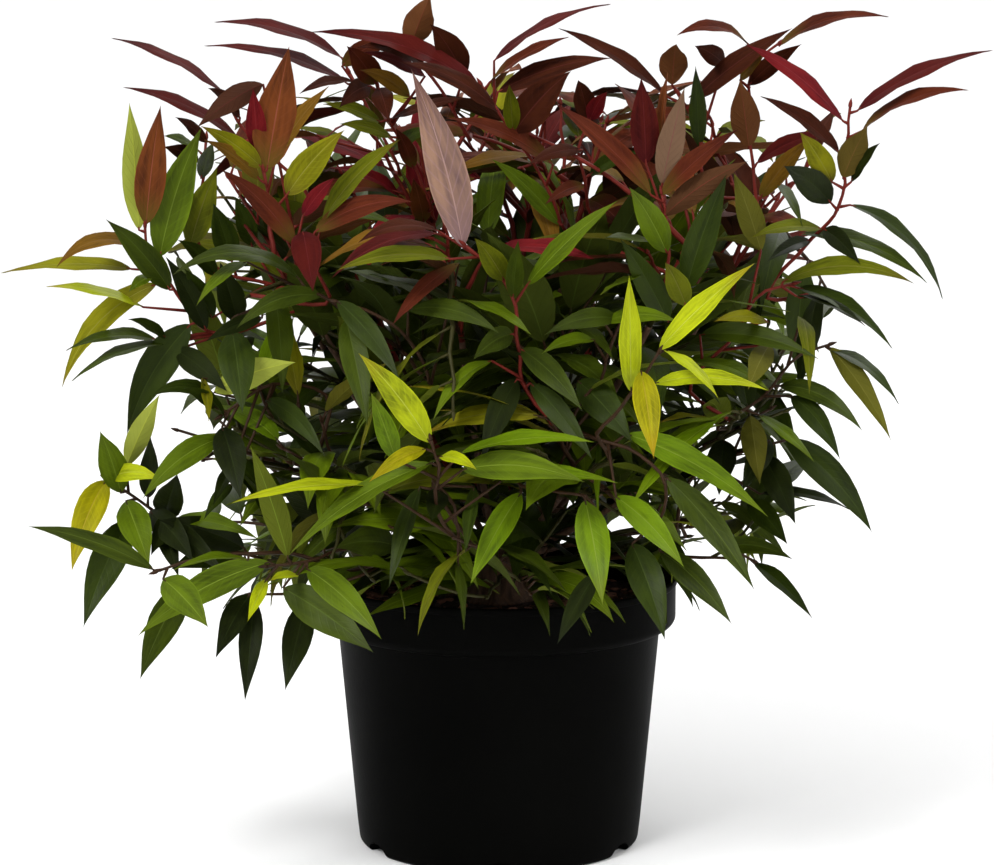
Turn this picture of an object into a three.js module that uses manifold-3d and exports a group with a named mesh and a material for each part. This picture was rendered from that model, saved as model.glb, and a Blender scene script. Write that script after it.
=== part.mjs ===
// Potted leucothoe: a bushy evergreen shrub, about 520 mm across, in a black nursery pot of 190 mm.
// Millimetres, +Z up, -Y is the front. The origin is the centre of the pot's flat underside.
import * as THREE from "three";
import { mergeVertices } from "three/addons/utils/BufferGeometryUtils.js";
import Module from "manifold-3d";

const wasm = await Module();
wasm.setup();

const UP = new THREE.Vector3(0, 0, 1);
const GOLDEN_ANGLE = 2.39996;
const GOLDEN_DEGREES = 137.5;
const GAP = 0.3; // between solids that touch on the real plant
const SHORTEST_EDGE = 0.03; // shorter ones, left where solids cross, are closed up

// Pot: a tapered wall under a straight collar, with drain notches cut up into its lower edge
const POT_HEIGHT = 145;
const COLLAR_RADIUS = 95;
const COLLAR_HEIGHT = 27;
const COLLAR_FOOT = POT_HEIGHT - COLLAR_HEIGHT;
const COLLAR_ROUNDING = 6; // of its lower edge
const BODY_TOP_RADIUS = 86.5;
const BASE_RADIUS = 75.5;
const WALL = 2;
const FLOOR = 3;
const POT_SIDES = 36;
const NOTCH_COUNT = 6;
const NOTCH_WIDTH = 19;
const NOTCH_HEIGHT = 6;
const NOTCH_DEPTH = 7;

// Potting mix: fills the pot to a little under its rim
const SOIL_TOP = POT_HEIGHT - 14;
const SOIL_MOUND_RADIUS = 31; // its level middle, from which it falls a little to the wall
const SOIL_FALL = 2;

// Short stem: the woody foot of the clump, which all canes leave from its round head
const STEM_FOOT_RADIUS = 19;
const STEM_FLARE_HEIGHT = 11;
const STEM_RADIUS = 14;
const STEM_HEAD_HEIGHT = 152; // centre of the round head
const STEM_SIDES = 16;
const STEM_HEAD_STEPS = 4;

// Crown: how far its leaf tips reach from a point on the pot's axis, by their angle above the horizontal
const CROWN_CENTRE = 200;
const REACH = [
  { elevation: -60, right: 118, left: 124 },
  { elevation: -45, right: 150, left: 176 },
  { elevation: -30, right: 176, left: 230 },
  { elevation: -10, right: 205, left: 258 },
  { elevation: 5, right: 222, left: 252 },
  { elevation: 22, right: 266, left: 290 },
  { elevation: 40, right: 347, left: 304 },
  { elevation: 50, right: 317, left: 304 },
  { elevation: 60, right: 286, left: 282 },
  { elevation: 75, right: 260, left: 258 },
  { elevation: 90, right: 254, left: 254 },
];
const BEARING_PLAY = 0.1; // most that a cane leaves its even place, in spaces between canes
const ELEVATION_PLAY = 5; // the same, in degrees
const CROWN_DEPTH_SHARE = 0.94; // front to back against side to side
const LOWEST_TWIG = -36; // elevations of twig tips, in degrees
const HIGHEST_TWIG = 89;
const POT_CLEARANCE = 2; // kept by twigs and leaves from the pot's rim

// Tiers of canes. Each cane's mass of leaves lies round a point at this elevation, seen from the crown's
// centre, and at this share of the reach there. The turn is the first one's bearing from +X, and the rise
// is the angle at which the canes leave the short stem.
const TIERS = [
  { name: "inner", count: 4, elevation: 38, share: 0.3, turn: -68, rise: 59, lift: 4, droop: 44 },
  { name: "top", count: 3, elevation: 72, share: 0.6, turn: -40, rise: 75, lift: 2, droop: 36 },
  { name: "upper", count: 8, elevation: 41, share: 0.6, turn: -96, rise: 42, lift: 2, droop: 40 },
  { name: "middle", count: 7, elevation: 12, share: 0.56, turn: -74, rise: 24, lift: -2, droop: 48 },
  { name: "lower", count: 6, elevation: -18, share: 0.55, turn: -90, rise: 6, lift: -8, droop: 52 },
];
const YOUNG_TIERS = ["top", "upper"]; // their leaves are still burgundy

// Boughs: the bare lower length of each cane, up to where it enters its own mass of leaves
const BOUGH_ROOT_RADIUS = 1.8;
const BOUGH_TIP_RADIUS = 1.6;
const BOUGH_SIDES = 6;
const BOUGH_ARCH = 0.45; // how far a cane keeps its first direction, as a share of its span
const LIMB_STEPS = 2;
const SPACE_MARGIN = 3; // kept by stems from the neighbours' spaces
const LIMB_CLEARANCE = 1; // kept by twigs and leaves from boughs

// Twigs: one stem carries each mass on from its bough, and the twigs fork from that
const TWIGS_PER_MASS = 4;
const TWIG_SPREAD = 25; // degrees from the mass's own direction to its outermost twig tip
const STEM_REACH = 1.2; // where a mass's own stem ends, against where its middle lies
const TWIG_REACH = 1.38;
const FIRST_FORK = 0.06; // shares of the stem at which twigs fork from it
const FORK_SPAN = 0.7;
const TWIG_ARCH = 0.12; // how far a twig swings along its stem, as a share of its length
const TWIG_RISE = 0.06;
const TWIG_TRIES = 8;
const TWIG_ROOT_RADIUS = 1.5;
const TWIG_TIP_RADIUS = 1.2;
const TWIG_SIDES = 3;

// Leaves: lance-shaped, alternate, hanging from their midrib in an arc. Each one here stands for about
// three, so it is larger than life. Angles are in degrees.
const LEAF_LENGTH = 98;
const LEAF_WIDTH_SHARE = 0.3;
const LEAF_THICKNESS_SHARE = 0.014;
const LEAF_WIDEST = 0.4; // share of its length
const LEAF_FOLD = 0.22; // rise of its margins over its midrib, against half its width
const LEAF_SINK = 0.2; // how far its pointed root lies beyond the twig's own middle line
const LEAF_SIZES = [0.82, 1.1];
const LEAF_OPENING = [36, 66]; // from the twig's own direction
const LEAF_DROOPS = [0.5, 1.35]; // against its tier's droop
const END_LEAF_SIZES = [1.1, 1.25];
const END_LEAF_OPENING = [3, 20];
const END_LEAF_DROOPS = [0.5, 0.9];
const END_LEAF_SHARE = 0.985; // where along its twig the last leaf is rooted
const LEAF_PITCH_LIMITS = [-62, 72];
const LEAF_TILT = 32; // most about its own midrib, and so below
const LEAF_NOD = 12;
const LEAF_ROLL = 28; // about its twig
const TWIG_ROLL = 30;
const UPRIGHT = 0.8; // rise of a twig's direction above which its leaves stand all round it
const NODE_SPACING = 15; // between the plant's leaves along a twig
const NODES_PER_LEAF = 2;
const LEAF_TRIES = 14;
const LEAF_SHRINK = 0.05; // at each new try
const LEAF_CLEARANCE = 5; // between the midribs of one mass's leaves
const SEED = 23;

const degrees = THREE.MathUtils.degToRad;

// A repeatable number from 0 to 1, worked out from whole numbers
function chance(...keys) {
  let hash = SEED;
  for (const key of keys) {
    hash = Math.imul(hash ^ (key + 1), 0x9e3779b1) >>> 0;
    hash = Math.imul(hash ^ (hash >>> 15), 0x85ebca6b) >>> 0;
    hash = (hash ^ (hash >>> 13)) >>> 0;
  }
  return hash / 2 ** 32;
}

const between = ([low, high], ...keys) => low + (high - low) * chance(...keys);
const around = (most, ...keys) => between([-most, most], ...keys);

// Solids

function solidOf(geometry) {
  const bare = geometry.clone();
  bare.deleteAttribute("normal");
  bare.deleteAttribute("uv");
  const merged = mergeVertices(bare, 1e-4);
  return new wasm.Manifold(
    new wasm.Mesh({
      numProp: 3,
      vertProperties: new Float32Array(merged.attributes.position.array),
      triVerts: new Uint32Array(merged.index.array),
    }),
  );
}

function geometryOf(solid) {
  const mesh = solid.getMesh();
  const geometry = new THREE.BufferGeometry();
  geometry.setAttribute("position", new THREE.BufferAttribute(mesh.vertProperties, 3));
  geometry.setIndex(new THREE.BufferAttribute(mesh.triVerts, 1));
  const flat = geometry.toNonIndexed();
  flat.computeVertexNormals();
  return flat;
}

// Joins solids into one body. Loose scraps are dropped, and so are sealed hollows, which fills them.
function fuse(solids) {
  const bodies = wasm.Manifold.union(solids).decompose();
  const whole = bodies.reduce((largest, body) => (body.volume() > largest.volume() ? body : largest));
  return whole.simplify(SHORTEST_EDGE);
}

// The point at a share of a bent line
function pointOn(line, share) {
  const place = share * (line.length - 1);
  const piece = Math.min(Math.floor(place), line.length - 2);
  return line[piece].clone().lerp(line[piece + 1], place - piece);
}

// A limb along a line that bends in one plane. Its profile goes from the root's axis to the tip's axis,
// as [radius, share of the line].
function limb(line, profile, sides) {
  const points = profile.map(([radius, share]) => new THREE.Vector2(radius, share));
  const geometry = new THREE.LatheGeometry(points, sides);
  const place = geometry.attributes.position;
  const first = line[1].clone().sub(line[0]).normalize();
  const last = line.at(-1).clone().sub(line.at(-2)).normalize();
  const binormal = new THREE.Vector3().crossVectors(first, last);
  if (binormal.length() < 0.02) {
    binormal.crossVectors(first, new THREE.Vector3(0.6, 0.8, 0));
  }
  binormal.normalize();
  for (let i = 0; i < place.count; i += 1) {
    const share = place.getY(i);
    const along = pointOn(line, Math.min(1, share + 0.02)).sub(pointOn(line, Math.max(0, share - 0.02)));
    const normal = new THREE.Vector3().crossVectors(binormal, along).normalize();
    const point = pointOn(line, share);
    point.addScaledVector(binormal, place.getX(i)).addScaledVector(normal, place.getZ(i));
    place.setXYZ(i, point.x, point.y, point.z);
  }
  return solidOf(geometry);
}

// Pot and what fills it

function wallRadius(height) {
  return BASE_RADIUS + ((BODY_TOP_RADIUS - BASE_RADIUS) * height) / COLLAR_FOOT;
}

function lathe(profile) {
  const points = profile.map(([radius, height]) => new THREE.Vector2(radius, height));
  return new THREE.LatheGeometry(points, POT_SIDES).rotateX(Math.PI / 2);
}

function potSolid() {
  const shell = lathe([
    [0, 0],
    [BASE_RADIUS - WALL, 0],
    [BASE_RADIUS, WALL],
    [BODY_TOP_RADIUS, COLLAR_FOOT],
    [COLLAR_RADIUS - COLLAR_ROUNDING / 3, COLLAR_FOOT + COLLAR_ROUNDING / 4],
    [COLLAR_RADIUS, COLLAR_FOOT + COLLAR_ROUNDING],
    [COLLAR_RADIUS, POT_HEIGHT],
    [COLLAR_RADIUS - WALL, POT_HEIGHT],
    [COLLAR_RADIUS - WALL, COLLAR_FOOT + COLLAR_ROUNDING + WALL / 2],
    [BODY_TOP_RADIUS - WALL, COLLAR_FOOT + WALL],
    [wallRadius(FLOOR) - WALL, FLOOR],
    [0, FLOOR],
  ]);
  const notch = new THREE.CylinderGeometry(NOTCH_WIDTH / 2, NOTCH_WIDTH / 2, 2 * NOTCH_DEPTH, 12);
  notch.scale(1, 1, (2 * NOTCH_HEIGHT) / NOTCH_WIDTH);
  notch.translate(0, -BASE_RADIUS, 0);
  let pot = solidOf(shell);
  for (let i = 0; i < NOTCH_COUNT; i += 1) {
    const turned = notch.clone().rotateZ((i * 2 * Math.PI) / NOTCH_COUNT);
    pot = pot.subtract(solidOf(turned));
  }
  return pot.simplify(SHORTEST_EDGE);
}

// The potting mix fits the pot's inside, and stays above its notches.
function soilSolid() {
  const clear = WALL + 2 * GAP;
  return solidOf(
    lathe([
      [0, FLOOR + GAP],
      [wallRadius(NOTCH_HEIGHT) - NOTCH_DEPTH - GAP, FLOOR + GAP],
      [wallRadius(NOTCH_HEIGHT) - clear, NOTCH_HEIGHT + 2 * GAP],
      [BODY_TOP_RADIUS - clear, COLLAR_FOOT + WALL],
      [COLLAR_RADIUS - clear, COLLAR_FOOT + COLLAR_ROUNDING + WALL],
      [COLLAR_RADIUS - clear, SOIL_TOP - SOIL_FALL],
      [SOIL_MOUND_RADIUS, SOIL_TOP],
      [0, SOIL_TOP],
    ]),
  );
}

// The clump's foot: flared at the potting mix, waisted, and round at its head
function shortStemSolid() {
  const foot = SOIL_TOP + GAP;
  const profile = [
    new THREE.Vector2(0, foot),
    new THREE.Vector2(STEM_FOOT_RADIUS, foot),
    new THREE.Vector2((STEM_FOOT_RADIUS + 2 * STEM_RADIUS) / 3, foot + STEM_FLARE_HEIGHT / 3),
    new THREE.Vector2(STEM_RADIUS, foot + STEM_FLARE_HEIGHT),
  ];
  for (let i = 0; i <= STEM_HEAD_STEPS; i += 1) {
    const angle = (i * Math.PI) / 2 / STEM_HEAD_STEPS;
    const radius = i === STEM_HEAD_STEPS ? 0 : STEM_RADIUS * Math.cos(angle);
    profile.push(new THREE.Vector2(radius, STEM_HEAD_HEIGHT + STEM_RADIUS * Math.sin(angle)));
  }
  return solidOf(new THREE.LatheGeometry(profile, STEM_SIDES).rotateX(Math.PI / 2));
}

// Limb profiles

const BOUGH_PROFILE = [
  [0, 0],
  [BOUGH_ROOT_RADIUS, 0],
  [(BOUGH_ROOT_RADIUS + BOUGH_TIP_RADIUS) / 2, 0.5],
  [BOUGH_TIP_RADIUS, 1],
  [0, 1],
];
const STEM_PROFILE = [
  [0, 0],
  [BOUGH_TIP_RADIUS, 0],
  [TWIG_ROOT_RADIUS, 0.5],
  [TWIG_TIP_RADIUS, 1],
  [0, 1],
];
// A twig's root is pointed, and lies on its stem's middle line.
const TWIG_PROFILE = [
  [0, 0],
  [TWIG_ROOT_RADIUS, 0.07],
  [(TWIG_ROOT_RADIUS + TWIG_TIP_RADIUS) / 2, 0.5],
  [TWIG_TIP_RADIUS, 1],
  [0, 1],
];

// Crown

function reachAt(azimuth, elevation) {
  const after = Math.max(1, REACH.findIndex((row) => row.elevation >= elevation));
  const low = REACH[after - 1];
  const high = REACH[after];
  const share = (elevation - low.elevation) / (high.elevation - low.elevation);
  const right = THREE.MathUtils.lerp(low.right, high.right, share);
  const left = THREE.MathUtils.lerp(low.left, high.left, share);
  return THREE.MathUtils.lerp(left, right, (1 + Math.cos(azimuth)) / 2);
}

// The point at a share of the crown's reach, from a bearing and an elevation in degrees
function crownPoint(bearing, elevation, share) {
  const azimuth = degrees(bearing);
  const reach = reachAt(azimuth, elevation) * share;
  const level = reach * Math.cos(degrees(elevation));
  return new THREE.Vector3(
    level * Math.cos(azimuth),
    level * Math.sin(azimuth) * CROWN_DEPTH_SHARE,
    CROWN_CENTRE + reach * Math.sin(degrees(elevation)),
  );
}

function insideCrown(point) {
  const depth = point.y / CROWN_DEPTH_SHARE;
  const rise = point.z - CROWN_CENTRE;
  const level = Math.hypot(point.x, depth);
  const elevation = THREE.MathUtils.radToDeg(Math.atan2(rise, level));
  if (elevation < REACH[0].elevation) {
    return false;
  }
  return Math.hypot(level, rise) <= reachAt(Math.atan2(depth, point.x), elevation);
}

// Whether a bent line stays over the pot's rim or outside it
function clearOfPot(line) {
  const SAMPLES = 8;
  return line.slice(1).every((end, piece) => {
    for (let i = 0; i <= SAMPLES; i += 1) {
      const point = line[piece].clone().lerp(end, i / SAMPLES);
      const overPot = Math.hypot(point.x, point.y) < COLLAR_RADIUS + POT_CLEARANCE;
      if (overPot && point.z < POT_HEIGHT + POT_CLEARANCE) {
        return false;
      }
    }
    return true;
  });
}

function massesOf(tiers) {
  const masses = [];
  tiers.forEach((tier) => {
    for (let i = 0; i < tier.count; i += 1) {
      const index = masses.length;
      const bearing = tier.turn + (360 / tier.count) * (i + around(BEARING_PLAY, index, 1));
      const elevation = tier.elevation + around(ELEVATION_PLAY, index, 2);
      const label = tier.name + "_" + String(i + 1).padStart(2, "0");
      const middle = crownPoint(bearing, elevation, tier.share);
      masses.push({ ...tier, index, bearing, elevation, label, middle });
    }
  });
  return masses;
}

// Whether a point keeps to a mass's own space: nearer to its middle than to any other's
function inSpace(point, mass, masses, margin) {
  return masses.every((other) => {
    if (other === mass) {
      return true;
    }
    const apart = other.middle.clone().sub(mass.middle);
    const halfway = other.middle.clone().add(mass.middle).multiplyScalar(0.5);
    return point.clone().sub(halfway).dot(apart) / apart.length() < -margin;
  });
}

// A cane leaves the round head of the short stem and arches out to the middle of its mass of leaves.
function caneCurve(mass) {
  const away = new THREE.Vector3(
    Math.cos(degrees(mass.bearing)) * Math.cos(degrees(mass.rise)),
    Math.sin(degrees(mass.bearing)) * Math.cos(degrees(mass.rise)),
    Math.sin(degrees(mass.rise)),
  );
  const start = new THREE.Vector3(0, 0, STEM_HEAD_HEIGHT);
  start.addScaledVector(away, STEM_RADIUS + GAP);
  const elbow = start.clone().addScaledVector(away, start.distanceTo(mass.middle) * BOUGH_ARCH);
  return new THREE.QuadraticBezierCurve3(start, elbow, mass.middle);
}

// The bare length of a cane, from its root to where it enters its own mass's space
function boughCurve(mass, masses) {
  const cane = caneCurve(mass);
  const STEP = 1 / 40;
  const SHORTEST = 0.3;
  let share = 1;
  while (share > SHORTEST && inSpace(cane.getPoint(share - STEP), mass, masses, SPACE_MARGIN)) {
    share -= STEP;
  }
  const elbow = cane.v0.clone().lerp(cane.v1, share);
  return new THREE.QuadraticBezierCurve3(cane.v0, elbow, cane.getPoint(share));
}

function stemCurve(mass, bough) {
  const away = bough.getTangent(1);
  const start = bough.v2.clone().addScaledVector(away, GAP);
  const end = crownPoint(mass.bearing, mass.elevation, mass.share * STEM_REACH);
  const elbow = start.clone().addScaledVector(away, start.distanceTo(end) * 0.5);
  return new THREE.QuadraticBezierCurve3(start, elbow, end);
}

// Twig tips lie round the mass's direction like seeds on a sunflower head, each try nearer to its middle.
function twigCurve(mass, twig, attempt, stem) {
  const ring = TWIG_SPREAD * Math.sqrt((twig + 0.7) / TWIGS_PER_MASS) * 0.88 ** attempt;
  const angle = twig * GOLDEN_ANGLE + attempt * 0.5 + between([0, 2 * Math.PI], mass.index, 3);
  const raised = mass.elevation + ring * Math.sin(angle);
  const elevation = THREE.MathUtils.clamp(raised, LOWEST_TWIG, HIGHEST_TWIG);
  const narrowing = Math.max(0.3, Math.cos(degrees(mass.elevation)));
  const bearing = mass.bearing + (ring * Math.cos(angle)) / narrowing;
  const share = mass.share * TWIG_REACH * between([0.86, 1.04], mass.index, twig, 4);
  const end = crownPoint(bearing, elevation, share);
  const fork = FIRST_FORK + (FORK_SPAN * twig) / TWIGS_PER_MASS;
  const start = pointOn(stem.line, fork);
  const length = start.distanceTo(end);
  const elbow = start.clone().lerp(end, 0.5);
  elbow.addScaledVector(stem.curve.getTangent(fork), length * TWIG_ARCH);
  elbow.z += length * TWIG_RISE;
  return new THREE.QuadraticBezierCurve3(start, elbow, end);
}

// Shortest distance between two straight pieces, from a to b and from c to d
function pieceDistance(a, b, c, d) {
  const first = b.clone().sub(a);
  const second = d.clone().sub(c);
  const offset = a.clone().sub(c);
  const aa = first.dot(first);
  const bb = second.dot(second);
  const ab = first.dot(second);
  const ao = first.dot(offset);
  const bo = second.dot(offset);
  const square = aa * bb - ab * ab;
  const guess = square > 1e-9 ? THREE.MathUtils.clamp((ab * bo - ao * bb) / square, 0, 1) : 0;
  const onSecond = THREE.MathUtils.clamp((ab * guess + bo) / bb, 0, 1);
  const onFirst = THREE.MathUtils.clamp((ab * onSecond - ao) / aa, 0, 1);
  return offset.addScaledVector(first, onFirst).addScaledVector(second, -onSecond).length();
}

function lineDistance(line, other) {
  let shortest = Infinity;
  for (let i = 1; i < line.length; i += 1) {
    for (let j = 1; j < other.length; j += 1) {
      const distance = pieceDistance(line[i - 1], line[i], other[j - 1], other[j]);
      shortest = Math.min(shortest, distance);
    }
  }
  return shortest;
}

// A limb's curve, with the bent line that its solid follows
function shootOf(curve) {
  return { curve, line: curve.getPoints(LIMB_STEPS) };
}

// The stem of a mass, then each of its twigs that finds a place in the mass's space, clear of all boughs
function shootsOf(mass, masses, boughs) {
  const stem = shootOf(stemCurve(mass, boughs[mass.index].curve));
  const shoots = [stem];
  for (let twig = 0; twig < TWIGS_PER_MASS; twig += 1) {
    for (let attempt = 0; attempt < TWIG_TRIES; attempt += 1) {
      const shoot = shootOf(twigCurve(mass, twig, attempt, stem));
      const outer = shoot.curve.getPoints(4).slice(1);
      const inside = outer.every((point) => inSpace(point, mass, masses, SPACE_MARGIN));
      const clear = boughs.every((bough) => {
        return lineDistance(outer, bough.line) > BOUGH_ROOT_RADIUS + TWIG_ROOT_RADIUS + LIMB_CLEARANCE;
      });
      if (inside && clear && clearOfPot(shoot.line)) {
        shoots.push(shoot);
        break;
      }
    }
  }
  return shoots;
}

// A leaf's midrib at a share of its length: an arc that bends down in one upright plane
function ribPoint(leaf, share) {
  const turned = leaf.pitch - leaf.droop * share;
  const level = (leaf.length * (Math.sin(leaf.pitch) - Math.sin(turned))) / leaf.droop;
  const rise = (leaf.length * (Math.cos(turned) - Math.cos(leaf.pitch))) / leaf.droop;
  return leaf.root.clone().addScaledVector(leaf.heading, level).addScaledVector(UP, rise);
}

// The way a leaf leaves its twig. Leaves stand alternately left and right of it, or all round an upright
// one, and the last leaf carries its twig on.
function leafDirection(along, isLast, mass, order, node, attempt) {
  const keys = [mass, order, node, attempt];
  const bearing = Math.atan2(along.y, along.x);
  const sideways = new THREE.Vector3(Math.sin(bearing), -Math.cos(bearing), 0);
  const roll = along.z > UPRIGHT ? node * GOLDEN_DEGREES : around(TWIG_ROLL, mass, order, 5);
  sideways.applyAxisAngle(along, degrees(roll + around(LEAF_ROLL, ...keys, 1)));
  const open = degrees(between(isLast ? END_LEAF_OPENING : LEAF_OPENING, ...keys, 2));
  const flank = (node + attempt) % 2 ? 1 : -1;
  const away = along.clone().multiplyScalar(Math.cos(open));
  return away.addScaledVector(sideways, flank * Math.sin(open));
}

// One try at a leaf, smaller each time
function leafAt(mass, order, node, attempt, shoot, share) {
  const isLast = share === END_LEAF_SHARE;
  const keys = [mass.index, order, node, attempt];
  const away = leafDirection(shoot.curve.getTangent(share), isLast, ...keys);
  const raised = THREE.MathUtils.radToDeg(Math.asin(THREE.MathUtils.clamp(away.z, -1, 1)));
  const nod = mass.lift + around(LEAF_NOD, ...keys, 3);
  const droop = between(isLast ? END_LEAF_DROOPS : LEAF_DROOPS, ...keys, 4);
  const size = between(isLast ? END_LEAF_SIZES : LEAF_SIZES, ...keys, 5);
  return {
    root: pointOn(shoot.line, share),
    heading: new THREE.Vector3(away.x, away.y, 0).normalize(),
    pitch: degrees(THREE.MathUtils.clamp(raised + nod, ...LEAF_PITCH_LIMITS)),
    droop: degrees(mass.droop * droop),
    length: LEAF_LENGTH * size * (1 - LEAF_SHRINK * attempt),
    tilt: degrees(around(LEAF_TILT, ...keys, 6)),
  };
}

// The six corners of a leaf: its root, four round its widest place, and its tip
function leafCorners(leaf) {
  const widest = ribPoint(leaf, LEAF_WIDEST);
  const bend = leaf.pitch - leaf.droop * LEAF_WIDEST;
  const along = leaf.heading.clone().multiplyScalar(Math.cos(bend)).addScaledVector(UP, Math.sin(bend));
  const across = new THREE.Vector3().crossVectors(UP, leaf.heading).applyAxisAngle(along, leaf.tilt);
  const over = new THREE.Vector3().crossVectors(along, across);
  const halfWidth = (leaf.length * LEAF_WIDTH_SHARE) / 2;
  const halfThickness = (leaf.length * LEAF_THICKNESS_SHARE) / 2;
  const folded = widest.clone().addScaledVector(over, halfWidth * LEAF_FOLD);
  return {
    root: leaf.root.clone().addScaledVector(along, -LEAF_SINK),
    left: folded.clone().addScaledVector(across, halfWidth),
    right: folded.clone().addScaledVector(across, -halfWidth),
    over: widest.clone().addScaledVector(over, halfThickness),
    under: widest.clone().addScaledVector(over, -halfThickness),
    tip: ribPoint(leaf, 1),
  };
}

function leafSolid(corners) {
  const { root, left, right, over, under, tip } = corners;
  const rim = [root, right, tip, left];
  const faces = rim.flatMap((corner, i) => {
    const next = rim[(i + 1) % rim.length];
    return [over, corner, next, under, next, corner];
  });
  return solidOf(new THREE.BufferGeometry().setFromPoints(faces));
}

// Whether a leaf keeps to its mass's space in the crown, clear of pot, boughs and its mass's other leaves
function leafFits(leaf, corners, mass, masses, boughs, spines) {
  const { left, right, over, tip } = corners;
  const outer = [left, right, over, tip];
  if (!outer.every((point) => insideCrown(point) && inSpace(point, mass, masses, GAP))) {
    return false;
  }
  const edges = [left, over, right].map((side) => [leaf.root, side, tip]);
  if (!edges.every(clearOfPot)) {
    return false;
  }
  const blocked = boughs.some((bough) => {
    return edges.some((edge) => lineDistance(edge, bough.line) < BOUGH_ROOT_RADIUS + LIMB_CLEARANCE);
  });
  const own = spineOf(corners);
  return !blocked && spines.every((spine) => lineDistance(own, spine) > LEAF_CLEARANCE);
}

// A leaf's midrib without its foot
function spineOf(corners) {
  return [corners.root.clone().lerp(corners.over, 0.5), corners.over, corners.tip];
}

function growMass(mass, masses, boughs) {
  const shoots = shootsOf(mass, masses, boughs);
  const spines = [];
  const solids = shoots.map(({ line }, order) => {
    return limb(line, order === 0 ? STEM_PROFILE : TWIG_PROFILE, TWIG_SIDES);
  });
  shoots.forEach((shoot, order) => {
    const nodes = Math.floor(shoot.curve.getLength() / NODE_SPACING);
    for (let node = nodes; node > 0; node -= NODES_PER_LEAF) {
      const share = Math.min(END_LEAF_SHARE, node / nodes);
      for (let attempt = 0; attempt < LEAF_TRIES; attempt += 1) {
        const leaf = leafAt(mass, order, node, attempt, shoot, share);
        const corners = leafCorners(leaf);
        if (leafFits(leaf, corners, mass, masses, boughs, spines)) {
          solids.push(leafSolid(corners));
          spines.push(spineOf(corners));
          break;
        }
      }
    }
  });
  return fuse(solids);
}

// The plant and its pot

const plastic = new THREE.MeshStandardMaterial({ color: 0x0d0d0c, roughness: 0.5 });
const mix = new THREE.MeshStandardMaterial({ color: 0x2a1c14, roughness: 0.95 });
const bark = new THREE.MeshStandardMaterial({ color: 0x6a4030, roughness: 0.7 });
const youngLeaf = new THREE.MeshStandardMaterial({ color: 0x5c1c24, roughness: 0.4 });
const grownLeaf = new THREE.MeshStandardMaterial({ color: 0x2f5020, roughness: 0.4 });

function named(name, solid, material) {
  const mesh = new THREE.Mesh(geometryOf(solid), material);
  mesh.name = name;
  return mesh;
}

const plant = new THREE.Group();
plant.add(named("pot", potSolid(), plastic));
plant.add(named("potting_mix", soilSolid(), mix));
plant.add(named("short_stem", shortStemSolid(), bark));

const masses = massesOf(TIERS);
const boughs = masses.map((mass) => shootOf(boughCurve(mass, masses)));
masses.forEach((mass) => {
  const bough = limb(boughs[mass.index].line, BOUGH_PROFILE, BOUGH_SIDES);
  plant.add(named("bough_" + mass.label, bough, bark));
});
masses.forEach((mass) => {
  const leafMaterial = YOUNG_TIERS.includes(mass.name) ? youngLeaf : grownLeaf;
  plant.add(named("foliage_" + mass.label, growMass(mass, masses, boughs), leafMaterial));
});

export default plant;
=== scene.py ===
"""Potted leucothoe: the looks of the shrub and its pot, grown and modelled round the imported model.

Blender's own unit is the metre. The growing rule works in millimetres, as the part's source does, and
shapes are turned to metres where their mesh is made. +Z is up, and -Y is the photograph's front.
"""

import math

import bpy
import numpy as np
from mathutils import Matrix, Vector

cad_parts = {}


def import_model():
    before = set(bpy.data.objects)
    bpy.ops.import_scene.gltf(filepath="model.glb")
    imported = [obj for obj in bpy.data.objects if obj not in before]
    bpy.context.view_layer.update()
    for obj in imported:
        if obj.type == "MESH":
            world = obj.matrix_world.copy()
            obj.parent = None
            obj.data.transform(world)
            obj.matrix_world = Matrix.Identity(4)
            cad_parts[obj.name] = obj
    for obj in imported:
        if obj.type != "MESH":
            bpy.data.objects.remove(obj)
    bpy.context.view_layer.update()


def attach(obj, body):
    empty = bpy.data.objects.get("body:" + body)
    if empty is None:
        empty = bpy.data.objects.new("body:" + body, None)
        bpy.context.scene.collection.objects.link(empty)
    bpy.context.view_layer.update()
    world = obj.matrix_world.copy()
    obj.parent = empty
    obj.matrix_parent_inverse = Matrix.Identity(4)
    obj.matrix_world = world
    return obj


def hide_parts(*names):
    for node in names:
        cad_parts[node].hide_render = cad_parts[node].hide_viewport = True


MM = 0.001
UP = np.array([0.0, 0.0, 1.0])
TINY = 1e-6
NEAR_PARALLEL = 1e-9
ODD_WAY = (0.31, 0.52, 0.79)  # a direction that no shoot follows
GOLDEN_ANGLE = 2.39996
GOLDEN_DEGREES = 137.5
FULL_TURN = (0, 2 * math.pi)

# Pot and potting mix, in millimetres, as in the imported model
POT_HEIGHT = 145
COLLAR_RADIUS = 95
COLLAR_HEIGHT = 27
COLLAR_FOOT = POT_HEIGHT - COLLAR_HEIGHT
BODY_TOP_RADIUS = 86.5
BASE_RADIUS = 75.5
WALL = 2
FLOOR = 3
NOTCH_COUNT = 6
NOTCH_WIDTH = 19
NOTCH_HEIGHT = 6
NOTCH_DEPTH = 7
SOIL_TOP = POT_HEIGHT - 14
SOIL_MOUND_RADIUS = 31
SOIL_FALL = 2

# Short stem
STEM_FOOT_RADIUS = 19
STEM_FLARE_HEIGHT = 11
STEM_RADIUS = 14
STEM_HEAD_HEIGHT = 152

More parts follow.
